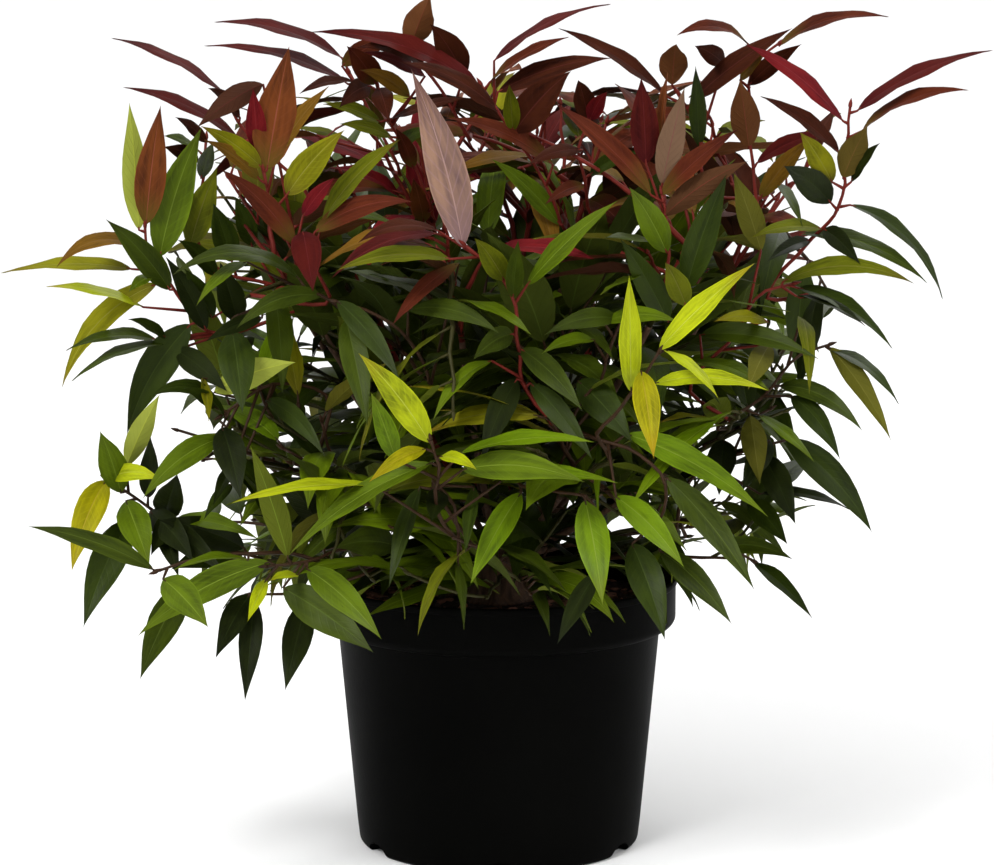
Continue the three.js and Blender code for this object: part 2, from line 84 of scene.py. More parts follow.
# Crown: how far its leaf tips reach from a point on the pot's axis, as (elevation, right, left)
CROWN_CENTRE = 200
REACH = [
    (-60, 118, 124),
    (-45, 150, 176),
    (-30, 176, 230),
    (-10, 205, 258),
    (5, 222, 252),
    (22, 266, 290),
    (40, 347, 304),
    (50, 317, 304),
    (60, 286, 282),
    (75, 260, 258),
    (90, 254, 254),
]
BEARING_PLAY = 0.1
ELEVATION_PLAY = 5
CROWN_DEPTH_SHARE = 0.94
LOWEST_TWIG = -36
HIGHEST_TWIG = 89
POT_CLEARANCE = 2
OUT_OF_CROWN = 2.0  # the share that stands for any place under the crown
TIER_FIELDS = ("name", "count", "elevation", "share", "turn", "rise", "lift", "droop")
TIERS = [
    # Share is of the crown's reach, turn is the first mass's bearing, and rise is its cane's, in degrees.
    # Lift and droop are its leaves'.
    ("inner", 4, 38, 0.3, -68, 59, 4, 44),
    ("top", 3, 72, 0.6, -40, 75, 2, 36),
    ("upper", 8, 41, 0.6, -96, 42, 2, 40),
    ("middle", 7, 12, 0.56, -74, 24, -2, 48),
    ("lower", 6, -18, 0.55, -90, 6, -8, 52),
]

# Boughs and the twigs that carry them on, in millimetres and degrees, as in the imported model
BOUGH_ROOT_RADIUS = 1.8
BOUGH_TIP_RADIUS = 1.6
BOUGH_ARCH = 0.45
SPACE_MARGIN = 3
LIMB_CLEARANCE = 1
TWIGS_PER_MASS = 4
TWIG_SPREAD = 25
STEM_REACH = 1.2
TWIG_REACH = 1.38
FIRST_FORK = 0.06
FORK_SPAN = 0.7
TWIG_ARCH = 0.12
TWIG_RISE = 0.06
TWIG_TRIES = 8
TWIG_ROOT_RADIUS = 1.5
SEED = 23
STIRRERS = (0x9E3779B1, 0x85EBCA6B)  # odd numbers that spread a random draw's keys over all its bits
TWIG_RING_START = 0.7
RING_PER_TRY = 0.88
TURN_PER_TRY = 0.5
LEAST_NARROWING = 0.3
TWIG_REACH_PLAY = (0.86, 1.04)
CURVE_STEPS = 12
PATH_WINDOW = 0.03
SHORTEST_BOUGH = 0.3
BOUGH_STEPS = 40
LIMB_STEPS = 2  # straight pieces of a bough, of the outer part of a twig, and of a whole twig, in tests
TWIG_STEPS = 4
WHOLE_TWIG_STEPS = 8

# Finer twigs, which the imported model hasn't
TIP_GROWTH = 22  # each shoot is carried on by this, because its leaves here are shorter
SIDE_TWIG_SPACING = 30
SIDE_TWIG_LENGTHS = (34, 66)
SIDE_TWIG_OPENING = (32, 55)
SIDE_TWIG_TRIES = 5
SIDE_TWIG_RISE = 0.18
SIDE_TWIG_START = 0.2
SIDE_TWIG_SPAN = 0.72
SIDE_TWIG_ROLL = 70
SIDE_TWIG_SHRINK = 0.1
SIDE_TWIG_TURN = 0.3  # how much of its first way is still its parent's
SIDE_TWIG_OVERLAP = 12  # how far it may reach into a neighbour's space
MAIN_ORDERS = 10  # a mass's side twigs are numbered from here
CANE_ORDER = 90
TWIG_TIP_RADIUS = 0.7
SIDE_TWIG_RADIUS = 0.9
TWIG_SIDES = 6
ZIGZAG = 0.9
BUD_LENGTH = 5
BUD_RADIUS = 1.1
BUD_PROFILE = ((0.0, 0.6), (0.2, 1.0), (0.5, 0.9), (0.8, 0.45), (1.0, 0.1))  # share along, width

# How far out leaves reach, as shares of the crown's reach. Only main shoots' leaves make the outline.
SIDE_TWIG_REACH = 0.74
SIDE_LEAF_REACH = (0.8, 0.93)

# Lowest leaf tips by bearing in degrees: the front is cut short, so that the pot's rim shows there
SKIRT = [(-180, 92), (-148, 88), (-128, 126), (-50, 130), (-20, 122), (90, 105), (180, 92)]

# Leaves, life-size, in millimetres and degrees
NODE_SPACING = 13
LEAF_LENGTHS = (60, 92)
END_LEAF_LENGTHS = (74, 96)
LEAF_WIDTHS = (0.2, 0.29)  # shares of their length
LEAF_THICKNESS = 0.4
LEAF_WIDEST = 0.37
LEAF_FOOT_POWER = 0.8  # less makes its foot rounder
LEAF_FOLDS = (0.12, 0.42)
LEAF_OPENING = (34, 68)
LEAF_DROOPS = (0.5, 1.45)
END_LEAF_OPENING = (3, 22)
END_LEAF_DROOPS = (0.5, 1.0)
LEAF_PITCH_LIMITS = (-66, 74)
LEAF_TILT = 34
LEAF_TWIST = 30
LEAF_SICKLE = 0.07
LEAF_NOD = 13
LEAF_ROLL = 30
TWIG_ROLL = 30
UPRIGHT = 0.8
LEAF_TRIES = 9
LEAF_SHRINK = 0.045
LEAF_CLEARANCE = 4.6
PETIOLE_LENGTH = 6
PETIOLE_RADIUS = 0.75
PETIOLE_RISE = 0.25
PETIOLE_TAPER = (1.25, 1, 0.8)
PETIOLE_MIDDLE = (0.45, 0.55)  # shares of its base and of the blade's root
PETIOLE_END = (3, 0.3)  # how far it runs on into the rib, and its radius there
LAST_NODE = 0.985
NEARBY = 75  # only pieces of midribs that start nearer than this are tested against a leaf
SIDES_OF_SMALL_TUBES = 5
NODE_SWELL = 1.12
SPINE_SHARES = (0.25, 0.5, 0.75, 1.0)
VIEW_SHARES = (0.08, 0.22, 0.36, 0.5, 0.64, 0.78, 0.92)
LEAF_ROWS = (0.03, 0.08, 0.15, 0.24, 0.34, 0.45, 0.56, 0.67, 0.77, 0.86, 0.93, 0.975)

# Leaf blade: its columns of points as shares of its half width, and the rib between the middle two
RIB_PLACE = 0.034
LEAF_COLUMNS = (-1.0, -0.58, -RIB_PLACE, RIB_PLACE, 0.58, 1.0)
TOP, UNDERSIDE, RIB = 0, 1, 2
MARGIN_WAVE = 0.11  # as a share of the blade's half width
MARGIN_WAVE_TURN = 15
MARGIN_WAVE_SHIFT = 2.1
GROOVE = -0.22  # in millimetres
FOLD_SHARES = (1.1, 0.6)  # at the foot, and how much of it is lost towards the tip
FOLD_CURVE = 1.15
ROLLED_MARGIN = (0.16, 2.4)  # how far it rolls down, and how near to the edge that starts

# Photograph's camera, in metres and degrees
PHOTO_SIZE = (994, 865)
CAMERA_PLACE = (-0.001, -1.8, 0.494)
CAMERA_PITCH = 8.6
CAMERA_LENS = 123.5
SENSOR_WIDTH = 36
FOCAL_PIXELS = PHOTO_SIZE[0] * CAMERA_LENS / SENSOR_WIDTH
VIEW_PITCH = math.radians(CAMERA_PITCH)
VIEW_POINT = np.array(CAMERA_PLACE) / MM

# Crown as the photograph shows it, in its pixels. Leaves that no picked shoot gives keep inside the
# outline, off the gaps of sky and out from before the picked leaves.
CROWN_OUTLINE = [
    (205, 330), (195, 285), (200, 235), (222, 185), (245, 150), (280, 118), (330, 100), (380, 88),
    (430, 84), (490, 92), (545, 86), (600, 96), (650, 84), (705, 84), (755, 92), (795, 112),
    (815, 150), (820, 200), (820, 245), (804, 300), (812, 350), (802, 395), (796, 440), (788, 480),
    (768, 520), (730, 560), (690, 584), (650, 596), (600, 598), (540, 602), (480, 598), (420, 598),
    (370, 604), (320, 602), (280, 592), (248, 580), (226, 560), (216, 528), (226, 498), (214, 468),
    (222, 438), (208, 405), (216, 368),
]
OUTLINE_CENTRE = (519, 345)
OUTLINE_PLAY = (0.96, 1.15)  # each shoot's leaves reach to between these shares of the outline
SKY_GAPS = [
    (307, 328, 10), (305, 350, 7), (386, 294, 5), (386, 319, 6), (400, 326, 6), (323, 366, 7),
    (404, 364, 6), (443, 337, 6), (337, 402, 7), (336, 482, 5), (580, 379, 6), (497, 508, 8),
    (564, 500, 7), (619, 514, 9), (635, 526, 11), (660, 271, 6), (653, 335, 7), (704, 447, 9),
    (694, 399, 6), (713, 493, 10), (788, 301, 9), (733, 432, 6), (742, 471, 6), (774, 364, 7),
    (754, 325, 6), (779, 405, 9), (272, 463, 9), (293, 416, 9), (248, 528, 9), (253, 556, 7),
    (284, 509, 7), (310, 537, 6), (236, 392, 7), (262, 330, 6), (238, 300, 8), (352, 180, 6),
    (430, 160, 6), (520, 230, 5), (600, 150, 7), (640, 240, 5), (745, 250, 6), (700, 220, 6),
    (475, 71, 9), (443, 92, 9), (402, 112, 12), (408, 80, 5), (491, 88, 5), (597, 71, 18),
    (584, 73, 12), (614, 103, 7), (629, 77, 7), (532, 118, 9), (521, 134, 5), (545, 140, 8),
    (575, 151, 6), (467, 142, 9), (452, 132, 7), (467, 184, 8), (475, 199, 8), (510, 190, 9),
    (501, 216, 7), (521, 203, 8), (540, 173, 6), (584, 186, 7), (603, 190, 9), (571, 216, 5),
    (593, 253, 5), (616, 227, 5), (718, 114, 8), (710, 66, 6), (384, 140, 5), (397, 160, 7),
    (642, 253, 6), (658, 270, 5), (627, 142, 5), (567, 177, 5), (298, 90, 8), (284, 115, 7),
    (320, 117, 8), (332, 117, 7), (290, 155, 10), (297, 145, 7), (225, 181, 8), (232, 205, 7),
    (207, 231, 5), (201, 168, 7), (354, 144, 6), (382, 139, 6), (366, 153, 6), (374, 171, 6),
    (369, 110, 6), (319, 207, 4), (365, 196, 4), (266, 280, 7), (289, 285, 7), (293, 252, 5),
    (657, 96, 4), (723, 96, 7), (743, 171, 8), (789, 106, 14), (781, 126, 12), (799, 159, 7),
    (781, 193, 8), (807, 197, 11), (763, 166, 5), (796, 265, 5), (801, 241, 4), (822, 250, 8),
    (700, 533, 6), (709, 567, 14), (732, 597, 14), (695, 553, 8), (736, 575, 10), (769, 528, 6),
    (836, 333, 14), (846, 372, 14), (832, 280, 10), (222, 455, 8), (200, 470, 10), (205, 425, 9),
    (195, 450, 10), (215, 478, 8),
]
PICKED_CLEARANCE = 13

# Shoots that stand out in the photograph. First is the stem, as pixels with their depth in millimetres.
# Then each leaf is a tint, root pixel, tip pixel, width seen in pixels, and droop in degrees. It is marked
# UNDER where the photograph shows its underside.
# A leaf's tint is the one that matched its seen tone, so besides the leaf's own colour it holds painted
# light and shade; black_green is painted shade.
UNDER = True
PICKED_SHOOTS = {
    "far left red": (
        [(205, 330, -88), (175, 290, -98), (147, 248, -104), (145, 228, -106)],
        ("lime", (139, 230), (129, 102), 27, 10, UNDER),
        ("copper", (146, 225), (159, 105), 31, 12),
        ("mid_green", (160, 257), (201, 127), 38, 15),
        ("dark_green", (170, 290), (104, 219), 27, 20),
        ("bronze", (138, 248), (55, 268), 14, 75),
        ("khaki", (132, 269), (0, 273), 14, 25),
        ("lime", (143, 307), (47, 287), 9, 30),
        ("khaki", (157, 284), (62, 388), 24, 55),
        ("dark_green", (157, 340), (65, 351), 12, 40),
        ("mid_green", (151, 276), (127, 292), 11, 15),
        ("deep_green", (166, 338), (127, 319), 11, 20),
        ("dark_green", (165, 344), (72, 382), 10, 40),
        ("deep_green", (191, 324), (127, 434), 37, 30),
        ("black_green", (176, 350), (226, 392), 25, 15),
        ("black_green", (206, 330), (168, 256), 22, 12),
    ),
    "left dark": (
        [(310, 300, -74), (262, 282, -78), (222, 272, -82),
         (198, 244, -84), (203, 180, -82), (206, 140, -80)],
        ("olive", (190, 246), (218, 167), 30, 15),
        ("deep_green", (216, 276), (178, 240), 18, 30),
        ("black_green", (238, 322), (218, 262), 28, 12),
        ("deep_green", (212, 318), (186, 268), 22, 12),
        ("deep_green", (232, 262), (212, 203), 26, 15),
        ("deep_green", (252, 246), (237, 196), 20, 12),
        ("dark_green", (201, 178), (214, 142), 16, 12),
        ("maroon", (198, 162), (163, 147), 17, 20),
        ("mid_green", (200, 152), (164, 136), 8, 25),
        ("maroon", (207, 142), (175, 117), 12, 15),
    ),
    "left green": (
        [(370, 330, -112), (300, 290, -128), (240, 315, -132)],
        ("dark_green", (300, 280), (172, 276), 15, 80),
        ("mid_green", (247, 262), (197, 306), 12, 40),
        ("dark_green", (322, 296), (236, 330), 20, 55),
        ("black_green", (262, 318), (206, 342), 16, 20),
        ("deep_green", (232, 331), (243, 413), 38, 25),
    ),
    "left middle": (
        [(330, 400, -98), (270, 385, -110), (222, 415, -114)],
        ("lime", (214, 392), (298, 362), 30, 20, UNDER),
        ("khaki", (203, 378), (210, 422), 10, 15),
        ("deep_green", (216, 408), (184, 388), 14, 20),
        ("deep_green", (232, 484), (204, 520), 13, 25),
        ("black_green", (232, 466), (214, 506), 13, 15),
        ("deep_green", (226, 420), (147, 398), 14, 90),
        ("black_green", (222, 427), (242, 499), 32, 20),
        ("mid_green", (221, 438), (143, 499), 26, 40),
        ("deep_green", (267, 400), (324, 457), 20, 40),
    ),
    "copper fan": (
        [(330, 300, -120), (302, 250, -130), (272, 205, -136), (264, 172, -140)],
        ("copper", (267, 170), (292, 46), 42, 12),
        ("crimson", (258, 152), (252, 88), 21, 8),
        ("khaki", (262, 168), (200, 126), 20, 20),
        ("maroon", (263, 84), (197, 128), 24, 20, UNDER),
        ("bronze", (277, 153), (327, 86), 17, 12),
        ("bronze", (260, 180), (203, 140), 15, 25),
        ("burgundy", (295, 244), (221, 169), 23, 25),
        ("crimson", (303, 216), (335, 177), 16, 15),
        ("burgundy", (315, 232), (413, 202), 22, 40),
        ("wine", (303, 232), (312, 292), 30, 20),
        ("khaki", (287, 195), (342, 130), 30, 15),
        ("olive", (322, 222), (400, 139), 18, 25),
    ),
    "far left arcs": (
        [(310, 210, -100), (265, 150, -112), (240, 125, -114), (226, 98, -114)],
        ("wine", (242, 142), (121, 87), 12, 32),
        ("wine", (225, 94), (112, 38), 9, 30),
        ("maroon", (240, 118), (206, 88), 12, 30),
    ),
    "top left arcs": (
        [(400, 170, -62), (372, 116, -66), (350, 74, -68)],
        ("wine", (342, 58), (212, 22), 12, 35),
        ("wine", (348, 84), (204, 46), 11, 35),
        ("maroon", (354, 82), (299, 94), 9, 30),
        ("burgundy", (342, 66), (398, 40), 20, 30),
    ),
    "top copper": (
        [(470, 140, -80), (440, 88, -86), (412, 54, -88)],
        ("copper", (410, 49), (430, -5), 30, 10, UNDER),
        ("maroon", (464, 76), (430, 24), 30, 20),
        ("maroon", (425, 66), (355, 48), 14, 40),
    ),
    "top dark": (
        [(430, 205, -66), (400, 138, -74), (386, 116, -78), (378, 88, -80)],
        ("wine", (425, 76), (362, 52), 13, 20),
        ("burgundy", (376, 84), (346, 46), 26, 20),
        ("bronze", (410, 97), (358, 70), 17, 30),
        ("maroon", (370, 86), (339, 108), 22, 30),
        ("maroon", (379, 88), (389, 122), 22, 20),
        ("olive", (380, 122), (322, 104), 13, 20),
        ("olive", (392, 137), (338, 124), 13, 20),
        ("maroon", (391, 119), (466, 98), 9, 15),
        ("crimson", (400, 197), (329, 168), 11, 35),
        ("copper", (424, 222), (414, 178), 20, 12),
        ("burgundy", (413, 168), (398, 128), 17, 15),
        ("dark_green", (392, 150), (432, 128), 14, 20),
    ),
    "top centre": (
        [(565, 230, -92), (538, 170, -102), (512, 133, -108), (482, 86, -110)],
        ("wine", (479, 87), (310, 32), 18, 40),
        ("wine", (494, 61), (612, 4), 9, 35),
        ("burgundy", (490, 82), (567, 37), 9, 25),
        ("maroon", (498, 92), (614, 58), 21, 25),
        ("olive", (513, 131), (509, 84), 17, 12),
        ("maroon", (500, 112), (398, 62), 17, 35),
        ("maroon", (514, 133), (573, 71), 36, 20),
        ("burgundy", (553, 165), (444, 118), 17, 35),
        ("mid_green", (560, 225), (492, 159), 20, 20),
    ),
    "tall centre": (
        [(524, 385, -148), (518, 347, -155), (516, 310, -158), (504, 280, -160), (466, 246, -166)],
        ("rosy_grey", (463, 247), (411, 69), 41, 14),
        ("mid_green", (527, 285), (620, 200), 20, 15),
        ("maroon", (440, 232), (357, 243), 12, 50),
        ("olive", (450, 259), (335, 271), 16, 35),
        ("olive", (504, 280), (476, 238), 24, 15),
        ("dark_green", (513, 298), (518, 240), 18, 12),
        ("black_green", (517, 379), (481, 462), 27, 25),
        ("deep_green", (530, 383), (593, 461), 23, 20),
        ("dark_green", (521, 349), (582, 411), 25, 25),
        ("mid_green", (492, 361), (431, 421), 13, 50),
        ("dark_green", (513, 334), (474, 360), 23, 30),
    ),
    "centre left": (
        [(430, 380, -135), (405, 335, -145), (370, 312, -150), (338, 302, -150)],
        ("dark_green", (346, 319), (365, 427), 28, 20),
        ("deep_green", (337, 301), (401, 381), 23, 25),
        ("dark_green", (408, 310), (500, 334), 20, 45),
        ("burgundy", (459, 263), (392, 326), 16, 30),
    ),
    "brown pair": (
        [(668, 300, -140), (667, 275, -145), (667, 219, -150), (662, 195, -152)],
        ("burgundy", (664, 216), (749, 161), 25, 20, UNDER),
        ("burgundy", (662, 195), (738, 129), 20, 15),
        ("mauve", (662, 185), (686, 87), 27, 10, UNDER),
        ("burgundy", (651, 195), (553, 102), 21, 20),
        ("mid_green", (667, 253), (630, 187), 28, 15),
        ("deep_green", (686, 290), (725, 172), 31, 12),
        ("deep_green", (668, 322), (618, 238), 28, 15),
        ("olive", (686, 306), (664, 262), 24, 15),
        ("wine", (646, 164), (643, 77), 29, 12),
        ("copper", (660, 142), (668, 72), 10, 10),
    ),
    "top right bar": (
        [(708, 190, -64), (698, 130, -68), (680, 96, -68)],
        ("maroon", (664, 95), (558, 28), 14, 25),
        ("copper", (672, 85), (676, 44), 29, 30, UNDER),
        ("maroon", (693, 100), (791, 28), 22, 15),
        ("deep_green", (700, 147), (693, 66), 18, 10),
        ("maroon", (724, 64), (695, 46), 20, 15),
        ("burgundy", (690, 118), (622, 128), 15, 35),
    ),
    "top curled": (
        [(604, 240, -96), (584, 180, -106), (580, 145, -108), (588, 122, -110)],
        ("crimson", (590, 120), (606, 92), 17, 20),
        ("maroon", (588, 118), (576, 80), 22, 25),
        ("maroon", (582, 150), (528, 166), 14, 30),
        ("deep_green", (590, 175), (640, 152), 15, 25),
        ("burgundy", (584, 185), (545, 205), 14, 25),
    ),
    "right top": (
        [(760, 220, -62), (752, 160, -64), (750, 110, -62), (756, 62, -60), (778, 44, -58)],
        ("maroon", (749, 85), (802, 44), 19, 15),
        ("bronze", (740, 80), (764, 54), 12, 15),
        ("burgundy", (779, 46), (888, 17), 12, 45),
        ("burgundy", (748, 44), (678, 36), 9, 60),
        ("copper", (749, 148), (738, 79), 30, 12, UNDER),
        ("wine", (757, 163), (833, 133), 15, 30),
        ("bronze", (760, 198), (811, 137), 20, 15),
        ("dark_green", (776, 182), (801, 227), 10, 35),
    ),
    "right red": (
        [(770, 300, -60), (826, 224, -90), (839, 209, -98),
         (844, 177, -104), (847, 132, -110), (850, 108, -112)],
        ("crimson", (843, 121), (745, 44), 16, 25),
        ("wine", (857, 111), (994, 50), 14, 30),
        ("burgundy", (862, 131), (971, 90), 11, 45),
        ("bronze", (843, 178), (868, 126), 29, 12, UNDER),
        ("black_green", (851, 182), (878, 143), 11, 20),
        ("maroon", (839, 153), (762, 96), 15, 20),
        ("khaki", (832, 182), (799, 132), 24, 15),
        ("black_green", (831, 203), (783, 166), 30, 20),
        ("deep_green", (850, 205), (943, 300), 13, 60),
        ("dark_green", (800, 234), (927, 284), 16, 50),
        ("black_green", (824, 229), (860, 264), 20, 20),
        ("olive", (822, 229), (752, 238), 13, 30),
        ("black_green", (810, 240), (766, 262), 14, 20),
    ),
    "right green": (
        [(690, 390, -88), (735, 335, -98), (762, 293, -102), (792, 284, -100)],
        ("olive", (783, 282), (913, 284), 18, 55),
        ("deep_green", (798, 288), (895, 349), 15, 40),
        ("black_green", (796, 296), (866, 326), 8, 30),
        ("olive", (761, 251), (733, 172), 26, 12, UNDER),
        ("dark_green", (700, 335), (819, 360), 21, 35),
        ("olive", (770, 344), (748, 390), 24, 20, UNDER),
        ("khaki", (768, 322), (714, 322), 12, 30),
    ),
    "right middle": (
        [(715, 430, -78), (765, 395, -90), (800, 355, -94), (828, 345, -92)],
        ("olive", (801, 318), (810, 395), 15, 100),
        ("olive", (829, 347), (891, 441), 21, 25, UNDER),
        ("deep_green", (830, 350), (899, 405), 11, 50),
        ("dark_green", (779, 386), (862, 432), 19, 55),
        ("deep_green", (791, 396), (840, 460), 22, 40),
        ("mid_green", (759, 415), (816, 462), 11, 20),
    ),
    "right low": (
        [(690, 480, -52), (742, 452, -64), (787, 440, -70)],
        ("deep_green", (786, 440), (872, 533), 31, 35),
        ("black_green", (770, 440), (742, 492), 24, 15),
        ("olive", (750, 415), (759, 485), 26, 15, UNDER),
        ("black_green", (764, 456), (795, 525), 29, 15),
        ("deep_green", (748, 500), (786, 545), 24, 20),
        ("black_green", (724, 440), (718, 496), 29, 12),
        ("black_green", (760, 494), (850, 510), 11, 35),
    ),
    "right lowest": (
        [(680, 520, -64), (725, 545, -70), (752, 560, -70)],
        ("deep_green", (754, 563), (811, 619), 15, 25),
        ("dark_green", (720, 548), (793, 560), 18, 40),
    ),
    "lime fan": (
        [(600, 430, -180), (619, 410, -188), (645, 374, -196), (659, 352, -200)],
        ("lime", (659, 350), (754, 263), 23, 12),
        ("lime", (664, 350), (720, 398), 10, 35),
        ("lime", (654, 384), (767, 391), 16, 35),
        ("amber", (641, 371), (655, 459), 27, 15),
        ("lime", (631, 392), (629, 275), 23, 10),
    ),
    "middle right": (
        [(590, 410, -140), (606, 360, -148), (622, 318, -150)],
        ("dark_green", (619, 319), (543, 335), 20, 35),
        ("mid_green", (594, 340), (541, 354), 12, 30),
        ("deep_green", (578, 381), (631, 443), 34, 20),
        ("mid_green", (604, 322), (678, 322), 16, 35),
    ),
    "low lime": (
        [(440, 520, -172), (438, 468, -184), (431, 440, -190)],
        ("lime", (430, 443), (360, 353), 30, 15),
        ("fresh_green", (396, 460), (368, 392), 22, 12),
        ("amber", (426, 449), (370, 483), 16, 30),
        ("lime", (440, 457), (476, 470), 12, 25),
        ("mid_green", (432, 463), (289, 555), 21, 30),
        ("mid_green", (462, 470), (583, 483), 30, 35),
        ("fresh_green", (460, 454), (595, 442), 13, 30),
        ("fresh_green", (500, 482), (619, 483), 16, 25),
        ("lime", (375, 486), (232, 503), 11, 25),
    ),
    "low left": (
        [(400, 540, -108), (340, 550, -126), (300, 563, -148), (268, 566, -150)],
        ("mid_green", (288, 558), (250, 445), 26, 12, UNDER),
        ("mid_green", (270, 562), (137, 637), 31, 30),
        ("dark_green", (396, 546), (334, 548), 38, 30),
        ("mid_green", (307, 569), (380, 640), 30, 25),
        ("dark_green", (283, 588), (372, 653), 38, 15),
        ("lime", (266, 580), (248, 622), 14, 15),
        ("lime", (298, 575), (270, 581), 8, 20),
    ),
    "low left under": (
        [(380, 566, -104), (330, 586, -118), (290, 594, -122), (254, 594, -124)],
        ("black_green", (250, 594), (217, 659), 27, 25),
        ("black_green", (254, 600), (247, 702), 24, 15),
        ("black_green", (306, 602), (287, 691), 30, 12),
    ),
    "far low left": (
        [(260, 560, -75), (200, 545, -82), (162, 517, -90), (127, 492, -96), (108, 480, -98)],
        ("mid_green", (121, 493), (101, 431), 29, 12),
        ("lime", (126, 467), (162, 394), 23, 12, UNDER),
        ("lime", (108, 479), (164, 481), 18, 40),
        ("amber", (106, 481), (74, 572), 30, 45),
        ("mid_green", (126, 501), (147, 566), 36, 15),
        ("deep_green", (130, 520), (86, 628), 36, 30),
        ("dark_green", (186, 586), (140, 680), 33, 25),
        ("mid_green", (175, 520), (261, 539), 16, 25),
        ("black_green", (150, 512), (196, 562), 28, 20),
        ("black_green", (162, 524), (222, 574), 24, 20),
        ("black_green", (172, 516), (152, 556), 20, 20),
        ("black_green", (160, 522), (178, 578), 20, 15),
        ("black_green", (244, 548), (156, 520), 30, 20),
        ("deep_green", (232, 556), (170, 570), 24, 30),
        ("black_green", (148, 498), (152, 436), 20, 10),
        ("black_green", (164, 518), (178, 474), 30, 10),
    ),
    "low left front": (
        [(300, 555, -140), (262, 553, -156), (222, 556, -168), (182, 563, -176), (158, 571, -178)],
        ("dark_green", (154, 570), (27, 526), 20, 25),
        ("mid_green", (248, 560), (174, 570), 7, 30),
        ("mid_green", (163, 579), (206, 628), 38, 20),
    ),
    "low right": (
        [(560, 430, -148), (600, 440, -162), (635, 452, -170), (665, 480, -172), (655, 535, -165)],
        ("fresh_green", (626, 434), (769, 518), 27, 25),
        ("dark_green", (667, 478), (757, 590), 29, 20),
        ("fresh_green", (616, 497), (686, 568), 27, 25),
        ("deep_green", (632, 544), (665, 640), 35, 20),
        ("dark_green", (660, 551), (734, 624), 26, 25),
    ),
    "low middle": (
        [(500, 440, -116), (522, 485, -150), (560, 492, -168), (588, 498, -178), (596, 560, -165)],
        ("fresh_green", (521, 493), (472, 585), 27, 20),
        ("fresh_green", (585, 500), (604, 605), 34, 15),
        ("fresh_green", (600, 440), (596, 532), 7, 20),
        ("black_green", (596, 574), (559, 645), 21, 20),
    ),
    "low hanging": (
        [(430, 480, -150), (452, 500, -162), (460, 545, -158)],
        ("deep_green", (474, 487), (465, 554), 14, 15),
        ("olive", (467, 550), (418, 636), 10, 60),
        ("dark_green", (458, 562), (466, 630), 10, 20),
        ("deep_green", (420, 487), (391, 588), 18, 25),
        ("black_green", (440, 490), (432, 523), 23, 20),
    ),
}
PICKED_LENGTHS = (64, 84)
PICKED_TOWARDS = 34  # how far a tip may lie nearer to the camera than its root
NEAREST_TIP = -236
PICKED_WIDTHS = (0.18, 0.36)
PICKED_STEM_RADIUS = 1.05
PICKED_FOLDS = (0.18, 0.58)
STALK_SLANT = 0.9
PICKED_TWIST = 24
PICKED_SICKLE = 0.03
PICKED_STEM_STEPS = 60
PICKED_KEYS = 900  # a picked shoot's own key in random draws is its number, counted from here
ANCHOR_SHARES = np.linspace(0.15, 0.9, 16)  # places on a main shoot that a picked one may leave from
FAR = 1e9

# Tints
TINTS = {
    # name: top, underside, rib and tip, as sRGB
    "crimson": ((78, 15, 24), (82, 28, 24), (108, 32, 36), (50, 8, 12)),
    "wine": ((54, 13, 15), (64, 26, 20), (78, 24, 24), (38, 8, 10)),
    "burgundy": ((61, 25, 18), (70, 44, 26), (88, 40, 30), (44, 10, 12)),
    "maroon": ((44, 18, 12), (60, 34, 22), (70, 30, 24), (32, 10, 10)),
    "mauve": ((80, 46, 42), (102, 78, 60), (104, 64, 58), (52, 22, 22)),
    # The next tint is a paler, greyer mauve: painted sheen on a glossy leaf
    "rosy_grey": ((98, 77, 82), (108, 86, 82), (130, 104, 98), (56, 26, 28)),
    "copper": ((79, 41, 24), (104, 64, 36), (116, 62, 42), (50, 18, 14)),
    "bronze": ((80, 57, 20), (84, 70, 28), (98, 72, 36), (56, 26, 14)),
    "khaki": ((88, 88, 14), (98, 94, 30), (116, 114, 40), (84, 56, 16)),
    "olive": ((66, 71, 12), (82, 80, 24), (94, 92, 36), (64, 44, 14)),
    # black_green is nearly black: painted shade, for leaves deep in shadow
    "black_green": ((18, 24, 6), (30, 36, 12), (34, 42, 16), (16, 20, 7)),
    "deep_green": ((29, 39, 7), (42, 50, 14), (48, 60, 20), (24, 30, 8)),
    "dark_green": ((38, 48, 8), (52, 60, 16), (62, 74, 24), (36, 42, 10)),
    "mid_green": ((58, 73, 7), (76, 84, 20), (90, 106, 30), (68, 76, 14)),
    "fresh_green": ((66, 86, 6), (86, 96, 20), (100, 118, 34), (84, 92, 14)),
    "lime": ((120, 130, 16), (132, 140, 54), (150, 158, 54), (108, 76, 16)),
    "amber": ((110, 107, 8), (120, 108, 20), (138, 124, 32), (124, 64, 12)),
}
YOUNG_FOOT = (76, 68, 22)  # the greening tints turn to this at their foot
RED_TINTS = [
    ("burgundy", 0.22), ("maroon", 0.16), ("wine", 0.08), ("crimson", 0.03), ("copper", 0.15),
    ("bronze", 0.13), ("olive", 0.15), ("khaki", 0.08),
]
GREEN_TINTS = [
    ("black_green", 0.03), ("deep_green", 0.13), ("dark_green", 0.32), ("mid_green", 0.29),
    ("olive", 0.07), ("khaki", 0.04), ("fresh_green", 0.12),
]
